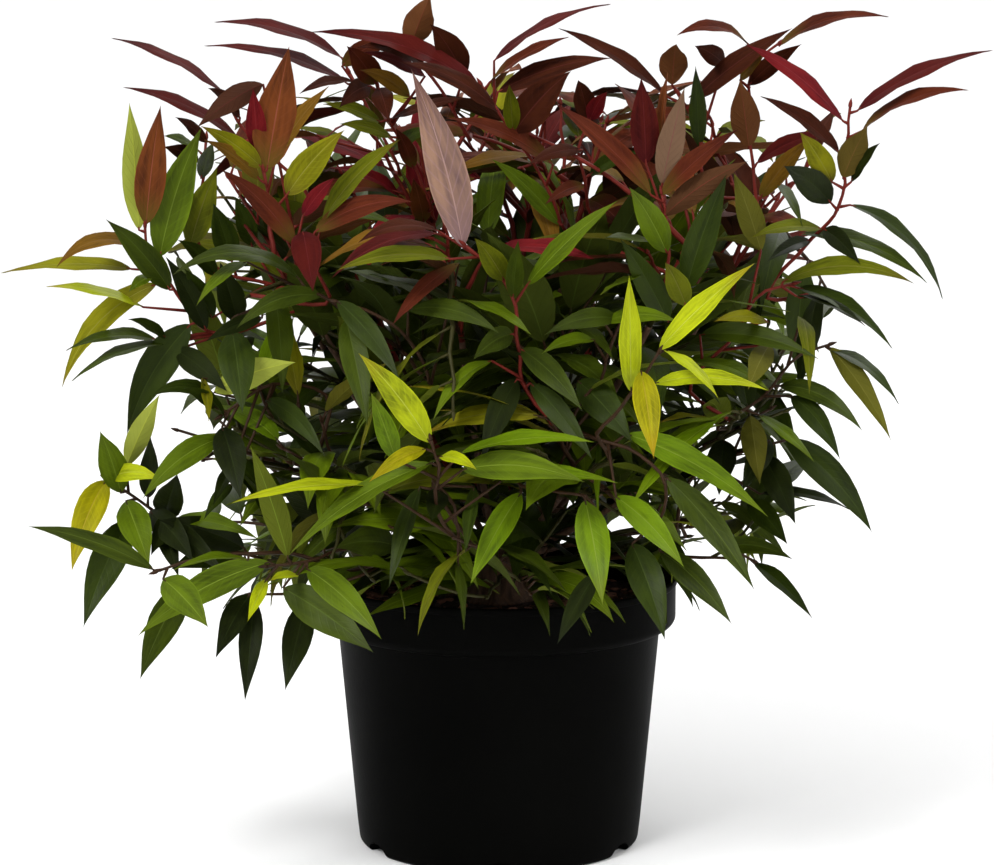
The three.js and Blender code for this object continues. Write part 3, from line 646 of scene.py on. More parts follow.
# Shoots deep in the crown take darker tints than the rest: painted shade, darkest low down by the pot's rim
SHADE_TINTS = [("deep_green", 0.2), ("dark_green", 0.5), ("mid_green", 0.3)]
LOW_SHADE_TINTS = [("black_green", 0.35), ("deep_green", 0.4), ("dark_green", 0.25)]
LOW_SHADE_HEIGHT = 215
SHADE_SHARE = 0.56  # shoots that end further in than this are shaded ones
YOUNG_TINTS = (
    "crimson", "wine", "burgundy", "maroon", "mauve", "rosy_grey", "copper", "bronze", "khaki", "olive",
)
GREENING_TINTS = ("burgundy", "mauve", "copper", "bronze", "khaki")
YOUNG_GLOSS = (0.035, 0.52, 0.66)  # specular level, and the least and most roughness
GROWN_GLOSS = (0.07, 0.36, 0.5)
RED_HEIGHTS = (300, 398)  # from the lowest red sprays to where all are red
# rose_stem is darkened below the stems' own colour as painted shade, so that stems among the leaves stay
# dark
STEM_TINTS = {"red_stem": (96, 31, 24), "rose_stem": (48, 31, 18), "green_stem": (48, 46, 20)}
GREEN_STEM_TINTS = (("rose_stem", 0.4), ("green_stem", 0.6))
RED_STEM_HEIGHT = 310  # picked shoots that end higher have red stems
OWN_TINT_EVERY = 3  # each third leaf draws its own tint, and the others share their twig's
HEIGHT_PLAY = 34  # how far a spray's height may count as higher or lower, when its tint is dealt

# Leaf surface. Spots and grain are noises, given as their scale and detail.
BROAD_SPOTS = (26, 2)
BROAD_WEIGHT = 0.45
FINE_SPOTS = (95, 3)
FINE_WEIGHT = 0.2
# Bands of painted sheen that run along each leaf
SHEEN_BAND_GRAIN = (1.0, 3)
SHEEN_BAND_SPOTS = (8, 0)  # from leaf to leaf
SHEEN_BAND_SCALES = (7.0, 1.3)  # across a leaf and along it
SHEEN_BAND_SHIFT = 14.0
SHEEN_BAND_WEIGHT = 0.6
# The mottle's range and two tones serve the leaf's uneven tone and the painted sheen alike
MOTTLE_AND_SHEEN_RANGE = (-1.0, 1.8)  # a range is what a noise from 0 to 1 is stretched to
MOTTLE_AND_SHEEN_TONES = (0.5, 1.65)
SUN_WARMTH = (1.04, 1.0, 0.6)
TIP_SPOTS = (17, 1)
TIP_START = 0.62
TIP_RANGE = (-0.6, 1.5)
FOOT_END = 0.34
FOOT_WEIGHT = 0.7
# A painted highlight along each leaf's margin, where its edge catches the light
MARGIN_HIGHLIGHT_START = 0.44
MARGIN_HIGHLIGHT_WEIGHT = 0.45
MARGIN_HIGHLIGHT_TONE = 2.3
VEIN_SLANT = 26.0
VEIN_PACE = 70.0
VEIN_SHARPNESS = 6.0
VEIN_WEIGHTS = (0.24, 0.12)  # on a leaf's top and on its underside
VEIN_TONES = (1.9, 0.6)
VEIN_DEPTH = -0.35  # veins are sunk in the top, beside the skin's own grain
SKIN_DEPTH = 0.4
SKIN_GRAIN = (900, 2)
UNDERSIDE_SPOTS = (30, 3)
UNDERSIDE_RANGE = (-0.2, 1.1)
UNDERSIDE_TONES = (0.8, 1.2)
UNDERSIDE_GLOSS = (0.04, 0.55, 0.7)
TOP_SHEEN_SPOTS = (60, 4)
UNDERSIDE_SHEEN_SPOTS = (80, 4)
LEAF_RELIEF = (0.0002, 0.5)  # height in metres, and strength

# Plainer surfaces: spots, their range, the two tones, roughness, specular level, grain and relief
RIB_LOOK = ((120, 4), (0.0, 1.0), (0.85, 1.15), 0.5, 0.05, None, None)
SHOOT_LOOK = ((90, 4), (-0.2, 1.2), (0.6, 1.35), 0.5, 0.1, (700, 3), (0.0002, 0.6))
CRUMB_LOOK = ((260, 6), (0.0, 1.0), (0.5, 1.5), 0.92, 0.25, (520, 6), (0.0012, 0.9))
CHIP_LOOK = ((260, 6), (0.0, 1.0), (0.65, 1.35), 0.92, 0.25, (520, 6), (0.0012, 0.9))
PLASTIC_SCUFFS = (14, 6)
PLASTIC_RANGE = (-0.2, 1.0)
PLASTIC_TONES = ((0.0007, 0.0007, 0.0006, 1), (0.002, 0.002, 0.0017, 1))  # linear
PLASTIC_ROUGHNESS = (0.42, 0.58)
PLASTIC_LEVEL = 0.012
PLASTIC_GRAIN = (420, 2)
PLASTIC_RELIEF = (0.0003, 0.25)
BARK_CRACKS = (420, 5)
BARK_STRETCH = (1, 1, 0.22)  # cracks are drawn out upright by this
BARK_RANGE = (-0.4, 1.3)
# The bark's two tones are darkened as painted shade on the stem and canes inside the crown
BARK_AND_SHADE_TINTS = ((44, 29, 20), (98, 70, 50))
BARK_RELIEF = (0.0012, 0.8)
BARK_ROUGHNESS = 0.8
BARK_LEVEL = 0.3

# Finer form of the pot, the potting mix and its chips of bark
POT_SIDES = 144
CENTRE_RING = 2  # turned forms are closed by a flat disc of this radius at their axis
UNDERSIDE_RING = 40
WALL_RINGS = (12, 13, 40, 80, COLLAR_FOOT - 2)
FOOT_BEND = 3
COLLAR_BEND = 5
LIP_BEND = 0.8
RIM_BEND = 1.2
LIP_HEIGHT = 4.2
LIP_PROUD = 0.7
NOTCH_SIDES = 32
CUTTER_CENTRE = 0.01
SHARP_ANGLE = 35
MIX_SIDES = 120
MIX_GAP = 0.6
MIX_FOOT = 12
MIX_SHOULDER = COLLAR_FOOT + 9
MIX_TINT = (40, 27, 20)
MIX_RINGS = 44
MIX_SINK = 0.8  # crumbs rise and fall about a level this far below the mix's top
CRUMB_HEIGHT = 0.9
FINE_CRUMB_HEIGHT = 0.5
CHIP_COUNT = 620
CHIP_LENGTHS = (3.5, 12)
CHIP_WIDTHS = (0.3, 0.7)  # shares of the length, as the thicknesses are
CHIP_THICKNESSES = (0.12, 0.3)
CHIP_ENDS = ((-0.5, 0.6), (-0.32, 1.0), (0.3, 0.9), (0.5, 0.5))  # place along a chip, and its girth there
CHIP_SIDES = 6
CHIP_UNEVENNESS = (0.7, 1.15)
CHIP_LEAN = 0.35
CHIP_ROLL = 0.5
CHIP_RISE = (-0.1, 0.4)
CHIP_CLEARANCES = (3, 6)  # how far chips' middles keep off the stem's foot and the pot's wall
CHIP_TINTS = {"dark_chip": (44, 28, 20), "brown_chip": (78, 50, 36), "pink_chip": (120, 80, 64)}

# Finer form of the short stem and the canes
SHORT_STEM_SIDES = 72
SHORT_STEM_FOOT = SOIL_TOP + 0.3
STEM_FLARE = ((17.2, 2.0), (15.6, 4.5), (14.5, 8.0))  # radius and height above the foot
STEM_MIDDLE_RING = 15.0  # a ring on its straight length, above the foot
STEM_FURROWS = ((0.035, 9, 0.22), (0.02, 23, -0.4))  # depth as a share, number round the stem, and slant
STEM_KNOTS = (0.03, 5, 0.5)  # depth as a share, number round the stem, and pace up it
CANE_SIDES = 12
CANE_STEP = 2.5
CANE_RIDGES = ((0.09, 3, 0.13), (0.05, 7, -0.31))  # as the stem's furrows
CANE_RING_HEIGHT = 0.22  # these three shape the rings at old leaf nodes
CANE_RING_PLACE = 4
CANE_RING_WIDTH = 3

# Stage and lights, in metres and watts. A light is a disc, given as its place, size and power.
STAGE_RADIUS = 4.6
STAGE_BEND = 1.8
STAGE_HEIGHT = 4.4
STAGE_RINGS = (0.001, 0.6)  # radii of the floor's two inner rings
STAGE_SIDES = 96
STAGE_BEND_STEPS = 20
FLOOR_GREY = (0.9, 0.9, 0.9, 1)
FLOOR_ROUGHNESS = 0.85
FLOOR_LEVEL = 0.2
SKY_STRENGTH = 0.95
LIT_PLACE = (0, 0, 0.28)
LIGHTS = {
    "key": ((-1.2, -1.9, 2.1), 1.0, 70),
    "fill": ((2.0, -1.8, 1.0), 1.8, 20),
    "back": ((0.9, 2.0, 2.4), 1.4, 24),
}


def chance(*keys):
    """A repeatable number from 0 to 1, worked out from whole numbers.

    The first ones say what it is drawn for, and the last one tells one kind of draw from another.
    """
    value = SEED
    for key in keys:
        value = ((value ^ (key + 1)) * STIRRERS[0]) & 0xFFFFFFFF
        value = ((value ^ (value >> 15)) * STIRRERS[1]) & 0xFFFFFFFF
        value ^= value >> 13
    return value / 2**32


def between(limits, *keys):
    """A number drawn between two limits"""
    low, high = limits
    return low + (high - low) * chance(*keys)


def around(most, *keys):
    """A number drawn from minus the most to the most"""
    return between((-most, most), *keys)


def unit(vector):
    return vector / np.linalg.norm(vector)


def clamp(value, low, high):
    return max(low, min(high, value))


def smooth_step(low, high, value):
    share = clamp((value - low) / (high - low), 0, 1)
    return share * share * (3 - 2 * share)


def level_across(along):
    """A level direction across a shoot, also where the shoot is upright"""
    return unit(np.cross(along, UP) + TINY)


def turned_about(vector, axis, angle):
    """A vector turned about a unit axis"""
    cos, sin = math.cos(angle), math.sin(angle)
    return vector * cos + np.cross(axis, vector) * sin + axis * (axis @ vector) * (1 - cos)


class Line:
    """A curved line, which gives its point at any share of it"""

    def points(self, steps):
        return np.array([self.point(i / steps) for i in range(steps + 1)])


class Curve(Line):
    """A bend from start to end that is drawn towards its elbow"""

    def __init__(self, start, elbow, end):
        self.start, self.elbow, self.end = start, elbow, end

    def point(self, share):
        rest = 1 - share
        return rest * rest * self.start + 2 * rest * share * self.elbow + share * share * self.end

    def tangent(self, share):
        return unit((1 - share) * (self.elbow - self.start) + share * (self.end - self.elbow))

    def length(self):
        return float(np.linalg.norm(np.diff(self.points(CURVE_STEPS), axis=0), axis=1).sum())

    def cut(self, share):
        """The same bend, ended early"""
        return Curve(self.start, self.start + (self.elbow - self.start) * share, self.point(share))


class Path(Line):
    """A smooth line through places that are given one by one"""

    def __init__(self, knots):
        knots = np.array(knots)
        steps = np.concatenate([[0], np.cumsum(np.linalg.norm(np.diff(knots, axis=0), axis=1))])
        tangents = np.gradient(knots, steps, axis=0)
        line = []
        for i in range(len(knots) - 1):
            span = steps[i + 1] - steps[i]
            for share in np.linspace(0, 1, CURVE_STEPS, endpoint=False):
                rise = smooth_step(0, 1, share)
                leave, arrive = share * (1 - share) ** 2, -share * share * (1 - share)
                place = knots[i] * (1 - rise) + knots[i + 1] * rise
                line.append(place + (tangents[i] * leave + tangents[i + 1] * arrive) * span)
        self.line = np.array(line + [knots[-1]])
        self.steps = np.concatenate([[0], np.cumsum(np.linalg.norm(np.diff(self.line, axis=0), axis=1))])

    def point(self, share):
        far = share * self.steps[-1]
        return np.array([np.interp(far, self.steps, self.line[:, axis]) for axis in range(3)])

    def tangent(self, share):
        low, high = max(0, share - PATH_WINDOW), min(1, share + PATH_WINDOW)
        return unit(self.point(high) - self.point(low))

    def length(self):
        return float(self.steps[-1])


# What the photograph's camera sees


def photo_point(pixel, depth):
    """The place that a pixel of the photograph shows, on the upright plane at a depth"""
    across = (pixel[0] - PHOTO_SIZE[0] / 2) / FOCAL_PIXELS
    down = (pixel[1] - PHOTO_SIZE[1] / 2) / FOCAL_PIXELS
    cos, sin = math.cos(VIEW_PITCH), math.sin(VIEW_PITCH)
    ray = np.array([across, cos - down * sin, -sin - down * cos])
    return VIEW_POINT + ray * (depth - VIEW_POINT[1]) / ray[1]


def photo_pixels(points):
    """Pixels of the photograph that show some points, and how far each point is from the camera"""
    cos, sin = math.cos(VIEW_PITCH), math.sin(VIEW_PITCH)
    offset = points - VIEW_POINT
    far = offset[:, 1] * cos - offset[:, 2] * sin
    up = offset[:, 1] * sin + offset[:, 2] * cos
    across = PHOTO_SIZE[0] / 2 + FOCAL_PIXELS * offset[:, 0] / far
    down = PHOTO_SIZE[1] / 2 - FOCAL_PIXELS * up / far
    return np.stack([across, down], axis=1), far


def inside_outline(pixels):
    """Whether each pixel is inside the crown's outline, by counting the sides to its left"""
    corners = np.array(CROWN_OUTLINE, float)
    after = np.roll(corners, -1, axis=0)
    x, y = pixels[:, 0, None], pixels[:, 1, None]
    spans = (corners[:, 1] > y) != (after[:, 1] > y)
    rise = np.where(after[:, 1] == corners[:, 1], 1, after[:, 1] - corners[:, 1])
    crossing = corners[:, 0] + (y - corners[:, 1]) * (after[:, 0] - corners[:, 0]) / rise
    return (spans & (crossing < x)).sum(axis=1) % 2 == 1


class View:
    """Says which leaves and twigs may stand where, as the photograph's camera sees them"""

    def __init__(self, picked_leaves):
        middle, _, _ = leaf_frames(picked_leaves, VIEW_SHARES)
        self.spots, self.depths = photo_pixels(middle.reshape(-1, 3))

    def allows(self, points, play=1.0):
        pixels, depths = photo_pixels(points)
        if not inside_outline((pixels - OUTLINE_CENTRE) / play + OUTLINE_CENTRE).all():
            return False
        gaps = np.array(SKY_GAPS, float)
        to_gaps = np.linalg.norm(pixels[:, None] - gaps[None, :, :2], axis=2)
        if np.any(to_gaps < gaps[:, 2]):
            return False
        to_spots = np.linalg.norm(pixels[:, None] - self.spots[None], axis=2)
        return not np.any((to_spots < PICKED_CLEARANCE) & (depths[:, None] < self.depths[None]))


# Crown


def reach_at(azimuth, elevation):
    """How far the crown reaches, for arrays of azimuths in radians and elevations in degrees"""
    rows = np.array(REACH, float)
    right = np.interp(elevation, rows[:, 0], rows[:, 1])
    left = np.interp(elevation, rows[:, 0], rows[:, 2])
    return left + (right - left) * (1 + np.cos(azimuth)) / 2


def crown_point(bearing, elevation, share):
    """The place at a share of the crown's reach, in a direction given in degrees"""
    azimuth, angle = math.radians(bearing), math.radians(elevation)
    reach = float(reach_at(azimuth, elevation)) * share
    level = reach * math.cos(angle)
    depth = level * math.sin(azimuth) * CROWN_DEPTH_SHARE
    return np.array([level * math.cos(azimuth), depth, CROWN_CENTRE + reach * math.sin(angle)])


def crown_shares(points):
    """How far out each point lies, where 1 is the crown's outline"""
    depth = points[:, 1] / CROWN_DEPTH_SHARE
    rise = points[:, 2] - CROWN_CENTRE
    level = np.hypot(points[:, 0], depth)
    elevation = np.degrees(np.arctan2(rise, level))
    shares = np.hypot(level, rise) / reach_at(np.arctan2(depth, points[:, 0]), elevation)
    return np.where(elevation < REACH[0][0], OUT_OF_CROWN, shares)


def above_skirt(points):
    """Whether every point is above the crown's lower edge"""
    bearings = np.degrees(np.arctan2(points[:, 1], points[:, 0]))
    rows = np.array(SKIRT, float)
    return np.all(points[:, 2] > np.interp(bearings, rows[:, 0], rows[:, 1]))


def clear_of_pot(points):
    """Whether every point is over the pot's rim or outside it"""
    over = np.hypot(points[:, 0], points[:, 1]) < COLLAR_RADIUS + POT_CLEARANCE
    return not np.any(over & (points[:, 2] < POT_HEIGHT + POT_CLEARANCE))


def masses_of(tiers):
    """The masses of foliage, tier by tier, each with its middle and its label"""
    masses = []
    for row in tiers:
        tier = dict(zip(TIER_FIELDS, row))
        for i in range(tier["count"]):
            index = len(masses)
            bearing = tier["turn"] + 360 / tier["count"] * (i + around(BEARING_PLAY, index, 1))
            elevation = tier["elevation"] + around(ELEVATION_PLAY, index, 2)
            middle = crown_point(bearing, elevation, tier["share"])
            own = {"index": index, "bearing": bearing, "elevation": elevation, "middle": middle}
            masses.append({**tier, **own, "label": f"{tier['name']}_{i + 1:02d}"})
    return masses


def in_space(points, mass, masses, margin):
    """Whether points keep to a mass's own space: nearer to its middle than to any other's"""
    for other in masses:
        if other is mass:
            continue
        apart = other["middle"] - mass["middle"]
        halfway = (other["middle"] + mass["middle"]) / 2
        if np.any((points - halfway) @ unit(apart) >= -margin):
            return False
    return True


def cane_curve(mass):
    """The whole way of a cane, from the short stem's head to the middle of its mass"""
    bearing, rise = math.radians(mass["bearing"]), math.radians(mass["rise"])
    away = np.array(
        [math.cos(bearing) * math.cos(rise), math.sin(bearing) * math.cos(rise), math.sin(rise)]
    )
    start = UP * STEM_HEAD_HEIGHT + away * STEM_RADIUS
    elbow = start + away * np.linalg.norm(mass["middle"] - start) * BOUGH_ARCH
    return Curve(start, elbow, mass["middle"])


def bough_curve(mass, masses):
    """The bare length of a cane, from its root to where it enters its own mass's space"""
    cane = cane_curve(mass)
    step = 1 / BOUGH_STEPS
    share = 1.0
    while share > SHORTEST_BOUGH and in_space(cane.point(share - step)[None], mass, masses, SPACE_MARGIN):
        share -= step
    elbow = cane.start + (cane.elbow - cane.start) * share
    return Curve(cane.start, elbow, cane.point(share))


def stem_curve(mass, bough):
    """The stem of a mass, which carries its bough on outwards"""
    away = bough.tangent(1)
    end = crown_point(mass["bearing"], mass["elevation"], mass["share"] * STEM_REACH)
    elbow = bough.end + away * np.linalg.norm(end - bough.end) * 0.5
    return Curve(bough.end, elbow, end)


def twig_curve(mass, twig, attempt, stem):
    """Twig tips lie round the mass's direction like seeds on a sunflower head, each try nearer to it."""
    ring = TWIG_SPREAD * math.sqrt((twig + TWIG_RING_START) / TWIGS_PER_MASS) * RING_PER_TRY**attempt
    angle = twig * GOLDEN_ANGLE + attempt * TURN_PER_TRY + between(FULL_TURN, mass["index"], 3)
    elevation = clamp(mass["elevation"] + ring * math.sin(angle), LOWEST_TWIG, HIGHEST_TWIG)
    narrowing = max(LEAST_NARROWING, math.cos(math.radians(mass["elevation"])))
    bearing = mass["bearing"] + ring * math.cos(angle) / narrowing
    share = mass["share"] * TWIG_REACH * between(TWIG_REACH_PLAY, mass["index"], twig, 4)
    end = crown_point(bearing, elevation, share)
    fork = FIRST_FORK + FORK_SPAN * twig / TWIGS_PER_MASS
    start = stem.point(fork)
    length = np.linalg.norm(end - start)
    elbow = (start + end) / 2 + stem.tangent(fork) * length * TWIG_ARCH + UP * length * TWIG_RISE
    return Curve(start, elbow, end)


def line_distance(line, starts, ends):
    """Shortest distance from a bent line to straight pieces, given by arrays of their starts and ends"""
    a, d1 = line[:-1, None, :], np.diff(line, axis=0)[:, None, :]
    c, d2 = starts[None], (ends - starts)[None]
    offset = a - c
    aa = (d1 * d1).sum(-1)
    bb = (d2 * d2).sum(-1)
    ab = (d1 * d2).sum(-1)
    ao = (d1 * offset).sum(-1)
    bo = (d2 * offset).sum(-1)
    square = aa * bb - ab * ab
    guess = (ab * bo - ao * bb) / np.maximum(square, NEAR_PARALLEL)
    guess = np.where(square > NEAR_PARALLEL, guess, 0).clip(0, 1)
    on_second = ((ab * guess + bo) / bb).clip(0, 1)
    on_first = ((ab * on_second - ao) / aa).clip(0, 1)
    between_them = offset + d1 * on_first[..., None] - d2 * on_second[..., None]
    return float(np.sqrt((between_them**2).sum(-1).min()))


def pieces_of(lines):
    """Starts and ends of the straight pieces of several bent lines"""
    return np.concatenate([line[:-1] for line in lines]), np.concatenate([line[1:] for line in lines])


def main_shoots(mass, masses, boughs):
    """The stem of a mass and its twigs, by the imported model's rule, each carried on a little at its tip"""
    stem = stem_curve(mass, boughs[mass["index"]])
    curves = [stem]
    limbs = pieces_of([bough.points(LIMB_STEPS) for bough in boughs])
    for twig in range(TWIGS_PER_MASS):
        for attempt in range(TWIG_TRIES):
            curve = twig_curve(mass, twig, attempt, stem)
            outer = curve.points(TWIG_STEPS)[1:]
            clear = line_distance(outer, *limbs) > BOUGH_ROOT_RADIUS + TWIG_ROOT_RADIUS + LIMB_CLEARANCE
            over_pot = clear_of_pot(curve.points(WHOLE_TWIG_STEPS))
            if clear and over_pot and in_space(outer, mass, masses, SPACE_MARGIN):
                curves.append(curve)
                break
    return [carried_on(curve) for curve in curves]


def carried_on(curve):
    """A shoot that grows on a little past its end"""
    end = curve.end + curve.tangent(1) * TIP_GROWTH
    return Curve(curve.start, curve.elbow + (end - curve.end) * 0.5, end)


def side_shoots(mass, order, parent, masses, view):
    """Finer twigs that fork left and right from a shoot, and turn up a little"""
    found = []
    count = int(parent.length() / SIDE_TWIG_SPACING)
    for i in range(count):
        share = SIDE_TWIG_START + SIDE_TWIG_SPAN * (i + 0.5) / count
        for attempt in range(SIDE_TWIG_TRIES):
            keys = (mass["index"], order, i, attempt)
            along = parent.tangent(share)
            roll = math.radians(around(SIDE_TWIG_ROLL, *keys, 31))
            level = level_across(along)
            sideways = turned_about(level, along, roll) * (1 if i % 2 else -1)
            opening = math.radians(between(SIDE_TWIG_OPENING, *keys, 32))
            away = along * math.cos(opening) + sideways * math.sin(opening)
            length = between(SIDE_TWIG_LENGTHS, *keys, 33) * (1 - SIDE_TWIG_SHRINK * attempt)
            start = parent.point(share)
            end = start + away * length + UP * SIDE_TWIG_RISE * length
            elbow = start + (along * SIDE_TWIG_TURN + away * (1 - SIDE_TWIG_TURN)) * length * 0.5
            curve = Curve(start, elbow, end)
            outer = curve.points(TWIG_STEPS)[1:]
            keeps_in = in_space(outer, mass, masses, -SIDE_TWIG_OVERLAP)
            reaches = crown_shares(outer).max() < SIDE_TWIG_REACH
            if reaches and keeps_in and clear_of_pot(outer) and view.allows(outer):
                found.append((share, curve))
                break
    return found


# Leaves


def leaf_direction(along, is_last, keys):
    """The way a leaf leaves its twig: left and right in turn, or all round an upright one"""
    mass, order, node, attempt = keys
    bearing = math.atan2(along[1], along[0])
    sideways = np.array([math.sin(bearing), -math.cos(bearing), 0.0])
    roll = node * GOLDEN_DEGREES if along[2] > UPRIGHT else around(TWIG_ROLL, mass, order, 5)
    sideways = turned_about(sideways, along, math.radians(roll + around(LEAF_ROLL, *keys, 1)))
    opening = math.radians(between(END_LEAF_OPENING if is_last else LEAF_OPENING, *keys, 2))
    flank = 1 if (node + attempt) % 2 else -1
    return along * math.cos(opening) + sideways * flank * math.sin(opening)


def leaf_at(mass, order, node, attempt, curve, share, is_last):
    """One leaf of a shoot, as its places, angles and sizes"""
    keys = (mass["index"], order, node, attempt)
    away = leaf_direction(curve.tangent(share), is_last, keys)
    raised = math.degrees(math.asin(clamp(away[2], -1, 1)))
    pitch = clamp(raised + mass["lift"] + around(LEAF_NOD, *keys, 3), *LEAF_PITCH_LIMITS)
    droop = mass["droop"] * between(END_LEAF_DROOPS if is_last else LEAF_DROOPS, *keys, 4)
    length = between(END_LEAF_LENGTHS if is_last else LEAF_LENGTHS, *keys, 5)
    base = curve.point(share)
    stalk = unit(away + UP * PETIOLE_RISE)
    return {
        "base": base,
        "root": base + stalk * PETIOLE_LENGTH,
        "heading": unit(np.array([away[0], away[1], 0.0])),
        "pitch": math.radians(pitch),
        "droop": math.radians(droop),
        "length": length * (1 - LEAF_SHRINK * attempt),
        "tilt": math.radians(around(LEAF_TILT, *keys, 6)),
        "twist": math.radians(around(LEAF_TWIST, *keys, 7)),
        "sickle": around(LEAF_SICKLE, *keys, 8),
        "width": between(LEAF_WIDTHS, *keys, 9),
        "fold": between(LEAF_FOLDS, *keys, 10),
        "phase": between(FULL_TURN, *keys, 11),
    }


def half_width(share):
    """A leaf's half width against its widest: a round base, and a long tip"""
    fall = LEAF_FOOT_POWER * (1 - LEAF_WIDEST) / LEAF_WIDEST
    widest = LEAF_WIDEST**LEAF_FOOT_POWER * (1 - LEAF_WIDEST) ** fall
    return share**LEAF_FOOT_POWER * (1 - share) ** fall / widest


def leaf_frames(leaves, shares):
    """Midrib points and the directions across and over the blade, for all leaves at all shares.

    Each is an array of [leaf, share, axis]. The midrib is an arc that bends down in an upright plane, and
    swings a little to one side.
    """
    def column(name):
        return np.array([leaf[name] for leaf in leaves]).reshape(len(leaves), 1, -1)

    share = np.array(shares)[None, :, None]
    heading, root = column("heading"), column("root")
    pitch, droop, length = column("pitch"), column("droop"), column("length")
    bend = pitch - droop * share
    level = length * (np.sin(pitch) - np.sin(bend)) / droop
    rise = length * (np.cos(bend) - np.cos(pitch)) / droop
    level_across = np.cross(UP, heading)
    middle = root + heading * level + UP * rise + level_across * column("sickle") * length * share**2
    along = heading * np.cos(bend) + UP * np.sin(bend)
    angle = column("tilt") + column("twist") * (share - LEAF_WIDEST)
    across = level_across * np.cos(angle) + np.cross(along, level_across) * np.sin(angle)
    return middle, across, np.cross(along, across)


def leaf_outline(leaf):
    """A leaf's midrib from a quarter of its length on, and points on its two margins"""
    middle, across, over = (part[0] for part in leaf_frames([leaf], SPINE_SHARES))
    half = np.array([half_width(share) for share in SPINE_SHARES[:-1]])[:, None]
    half = half * leaf["length"] * leaf["width"] / 2
    raised = middle[:-1] + over[:-1] * half * leaf["fold"]
    return middle, np.concatenate([raised + across[:-1] * half, raised - across[:-1] * half])


class LeafSpace:
    """The places that leaves and limbs already take"""

    def __init__(self, boughs, view):
        self.limbs = pieces_of([bough.points(LIMB_STEPS) for bough in boughs])
        self.view = view
        self.starts = np.zeros((0, 3))
        self.ends = np.zeros((0, 3))

    def holds(self, leaf, reach, play):
        spine, margins = leaf_outline(leaf)
        outer = np.concatenate([spine, margins])
        if crown_shares(outer).max() > reach or not clear_of_pot(outer) or not above_skirt(outer):
            return False
        halfway = (spine[1:] + spine[:-1]) / 2
        if not self.view.allows(np.concatenate([margins, halfway, spine]), play):
            return False
        if line_distance(spine, *self.limbs) < BOUGH_ROOT_RADIUS + LIMB_CLEARANCE:
            return False
        near = np.linalg.norm(self.starts - spine[1], axis=1) < NEARBY
        return not near.any() or line_distance(spine, self.starts[near], self.ends[near]) > LEAF_CLEARANCE

    def take(self, leaf):
        spine, _ = leaf_outline(leaf)
        self.starts = np.concatenate([self.starts, spine[:-1]])
        self.ends = np.concatenate([self.ends, spine[1:]])


def leaves_on(mass, order, curve, space):
    """The leaves of one shoot, from its tip down. A leaf that finds no place is left out."""
    leaves, last = [], 0
    reach = 1 if order < MAIN_ORDERS else between(SIDE_LEAF_REACH, mass["index"], order, 34)
    play = between(OUTLINE_PLAY, mass["index"], order, 35)
    nodes = max(1, int(curve.length() / NODE_SPACING))
    for node in range(nodes, 0, -1):
        share = min(LAST_NODE, node / nodes)
        for attempt in range(LEAF_TRIES):
            leaf = leaf_at(mass, order, node, attempt, curve, share, node == nodes)
            if space.holds(leaf, reach, play):
                space.take(leaf)
                leaves.append(leaf)
                last = max(last, share)
                break
    return leaves, last


# Picked shoots


def anchor_of(place, mains):
    """Where a picked shoot leaves a main shoot: the nearest place on one that isn't above or before it"""
    best = (FAR, 0, 0.0)
    for index, curve in enumerate(mains):
        for share in ANCHOR_SHARES:
            offset = curve.point(share) - place
            cost = np.linalg.norm(offset) + max(0, offset[2]) + max(0, -offset[1])
            best = min(best, (cost, index, float(share)))
    return best[1], best[2]


def picked_leaf(line, row, *keys):
    """A leaf between two pixels, at its stem's depth, whose tip leans out of the picture's plane"""
    tint, root_pixel, tip_pixel, width, droop, *under = row
    stem_pixels, distances = photo_pixels(line)
    nearest = int(np.argmin(np.linalg.norm(stem_pixels - root_pixel, axis=1)))
    depth = line[nearest][1]
    root = photo_point(root_pixel, depth)
    back = STALK_SLANT * np.linalg.norm(line[nearest] - root) / np.linalg.norm(line[1] - line[0])
    base = line[max(0, nearest - int(back))]
    seen = np.linalg.norm(photo_point(tip_pixel, depth) - root)
    natural = between(PICKED_LENGTHS, *keys, 1)
    towards = min(PICKED_TOWARDS, math.sqrt(max(0, natural**2 - seen**2)))
    tip = photo_point(tip_pixel, max(NEAREST_TIP, depth - towards))
    chord = tip - root
    level = math.hypot(chord[0], chord[1])
    heading = np.array([chord[0], chord[1], 0.0]) / level
    bend = math.radians(droop)
    pitch = math.atan2(chord[2], level) + bend / 2
    slope = pitch - bend * LEAF_WIDEST
    length = float(np.linalg.norm(chord)) * (bend / 2) / math.sin(bend / 2)
    seen_width = width * distances[nearest] / FOCAL_PIXELS
    share = clamp(seen_width / length, *PICKED_WIDTHS)
    return {
        "base": base,
        "root": root,
        "heading": heading,
        "pitch": pitch,
        "droop": bend,
        "length": length,
        "tilt": picked_tilt(root, heading, slope, seen_width / (share * length), under),
        "twist": math.radians(around(PICKED_TWIST, *keys, 2)),
        "sickle": around(PICKED_SICKLE, *keys, 3),
        "width": share,
        "fold": between(PICKED_FOLDS, *keys, 4),
        "phase": between(FULL_TURN, *keys, 5),
        "tint": tint,
    }


def picked_tilt(root, heading, slope, openness, under):
    """The tilt that shows the camera one side of a blade, as wide open as it is in the photograph"""
    to_camera = unit(VIEW_POINT - root)
    upper = UP * math.cos(slope) - heading * math.sin(slope)
    squarely = math.atan2(-to_camera @ np.cross(UP, heading), to_camera @ upper)
    if under:
        squarely += math.pi if squarely < 0 else -math.pi
    turn = math.acos(min(1, openness))
    return squarely - turn if squarely > 0 else squarely + turn


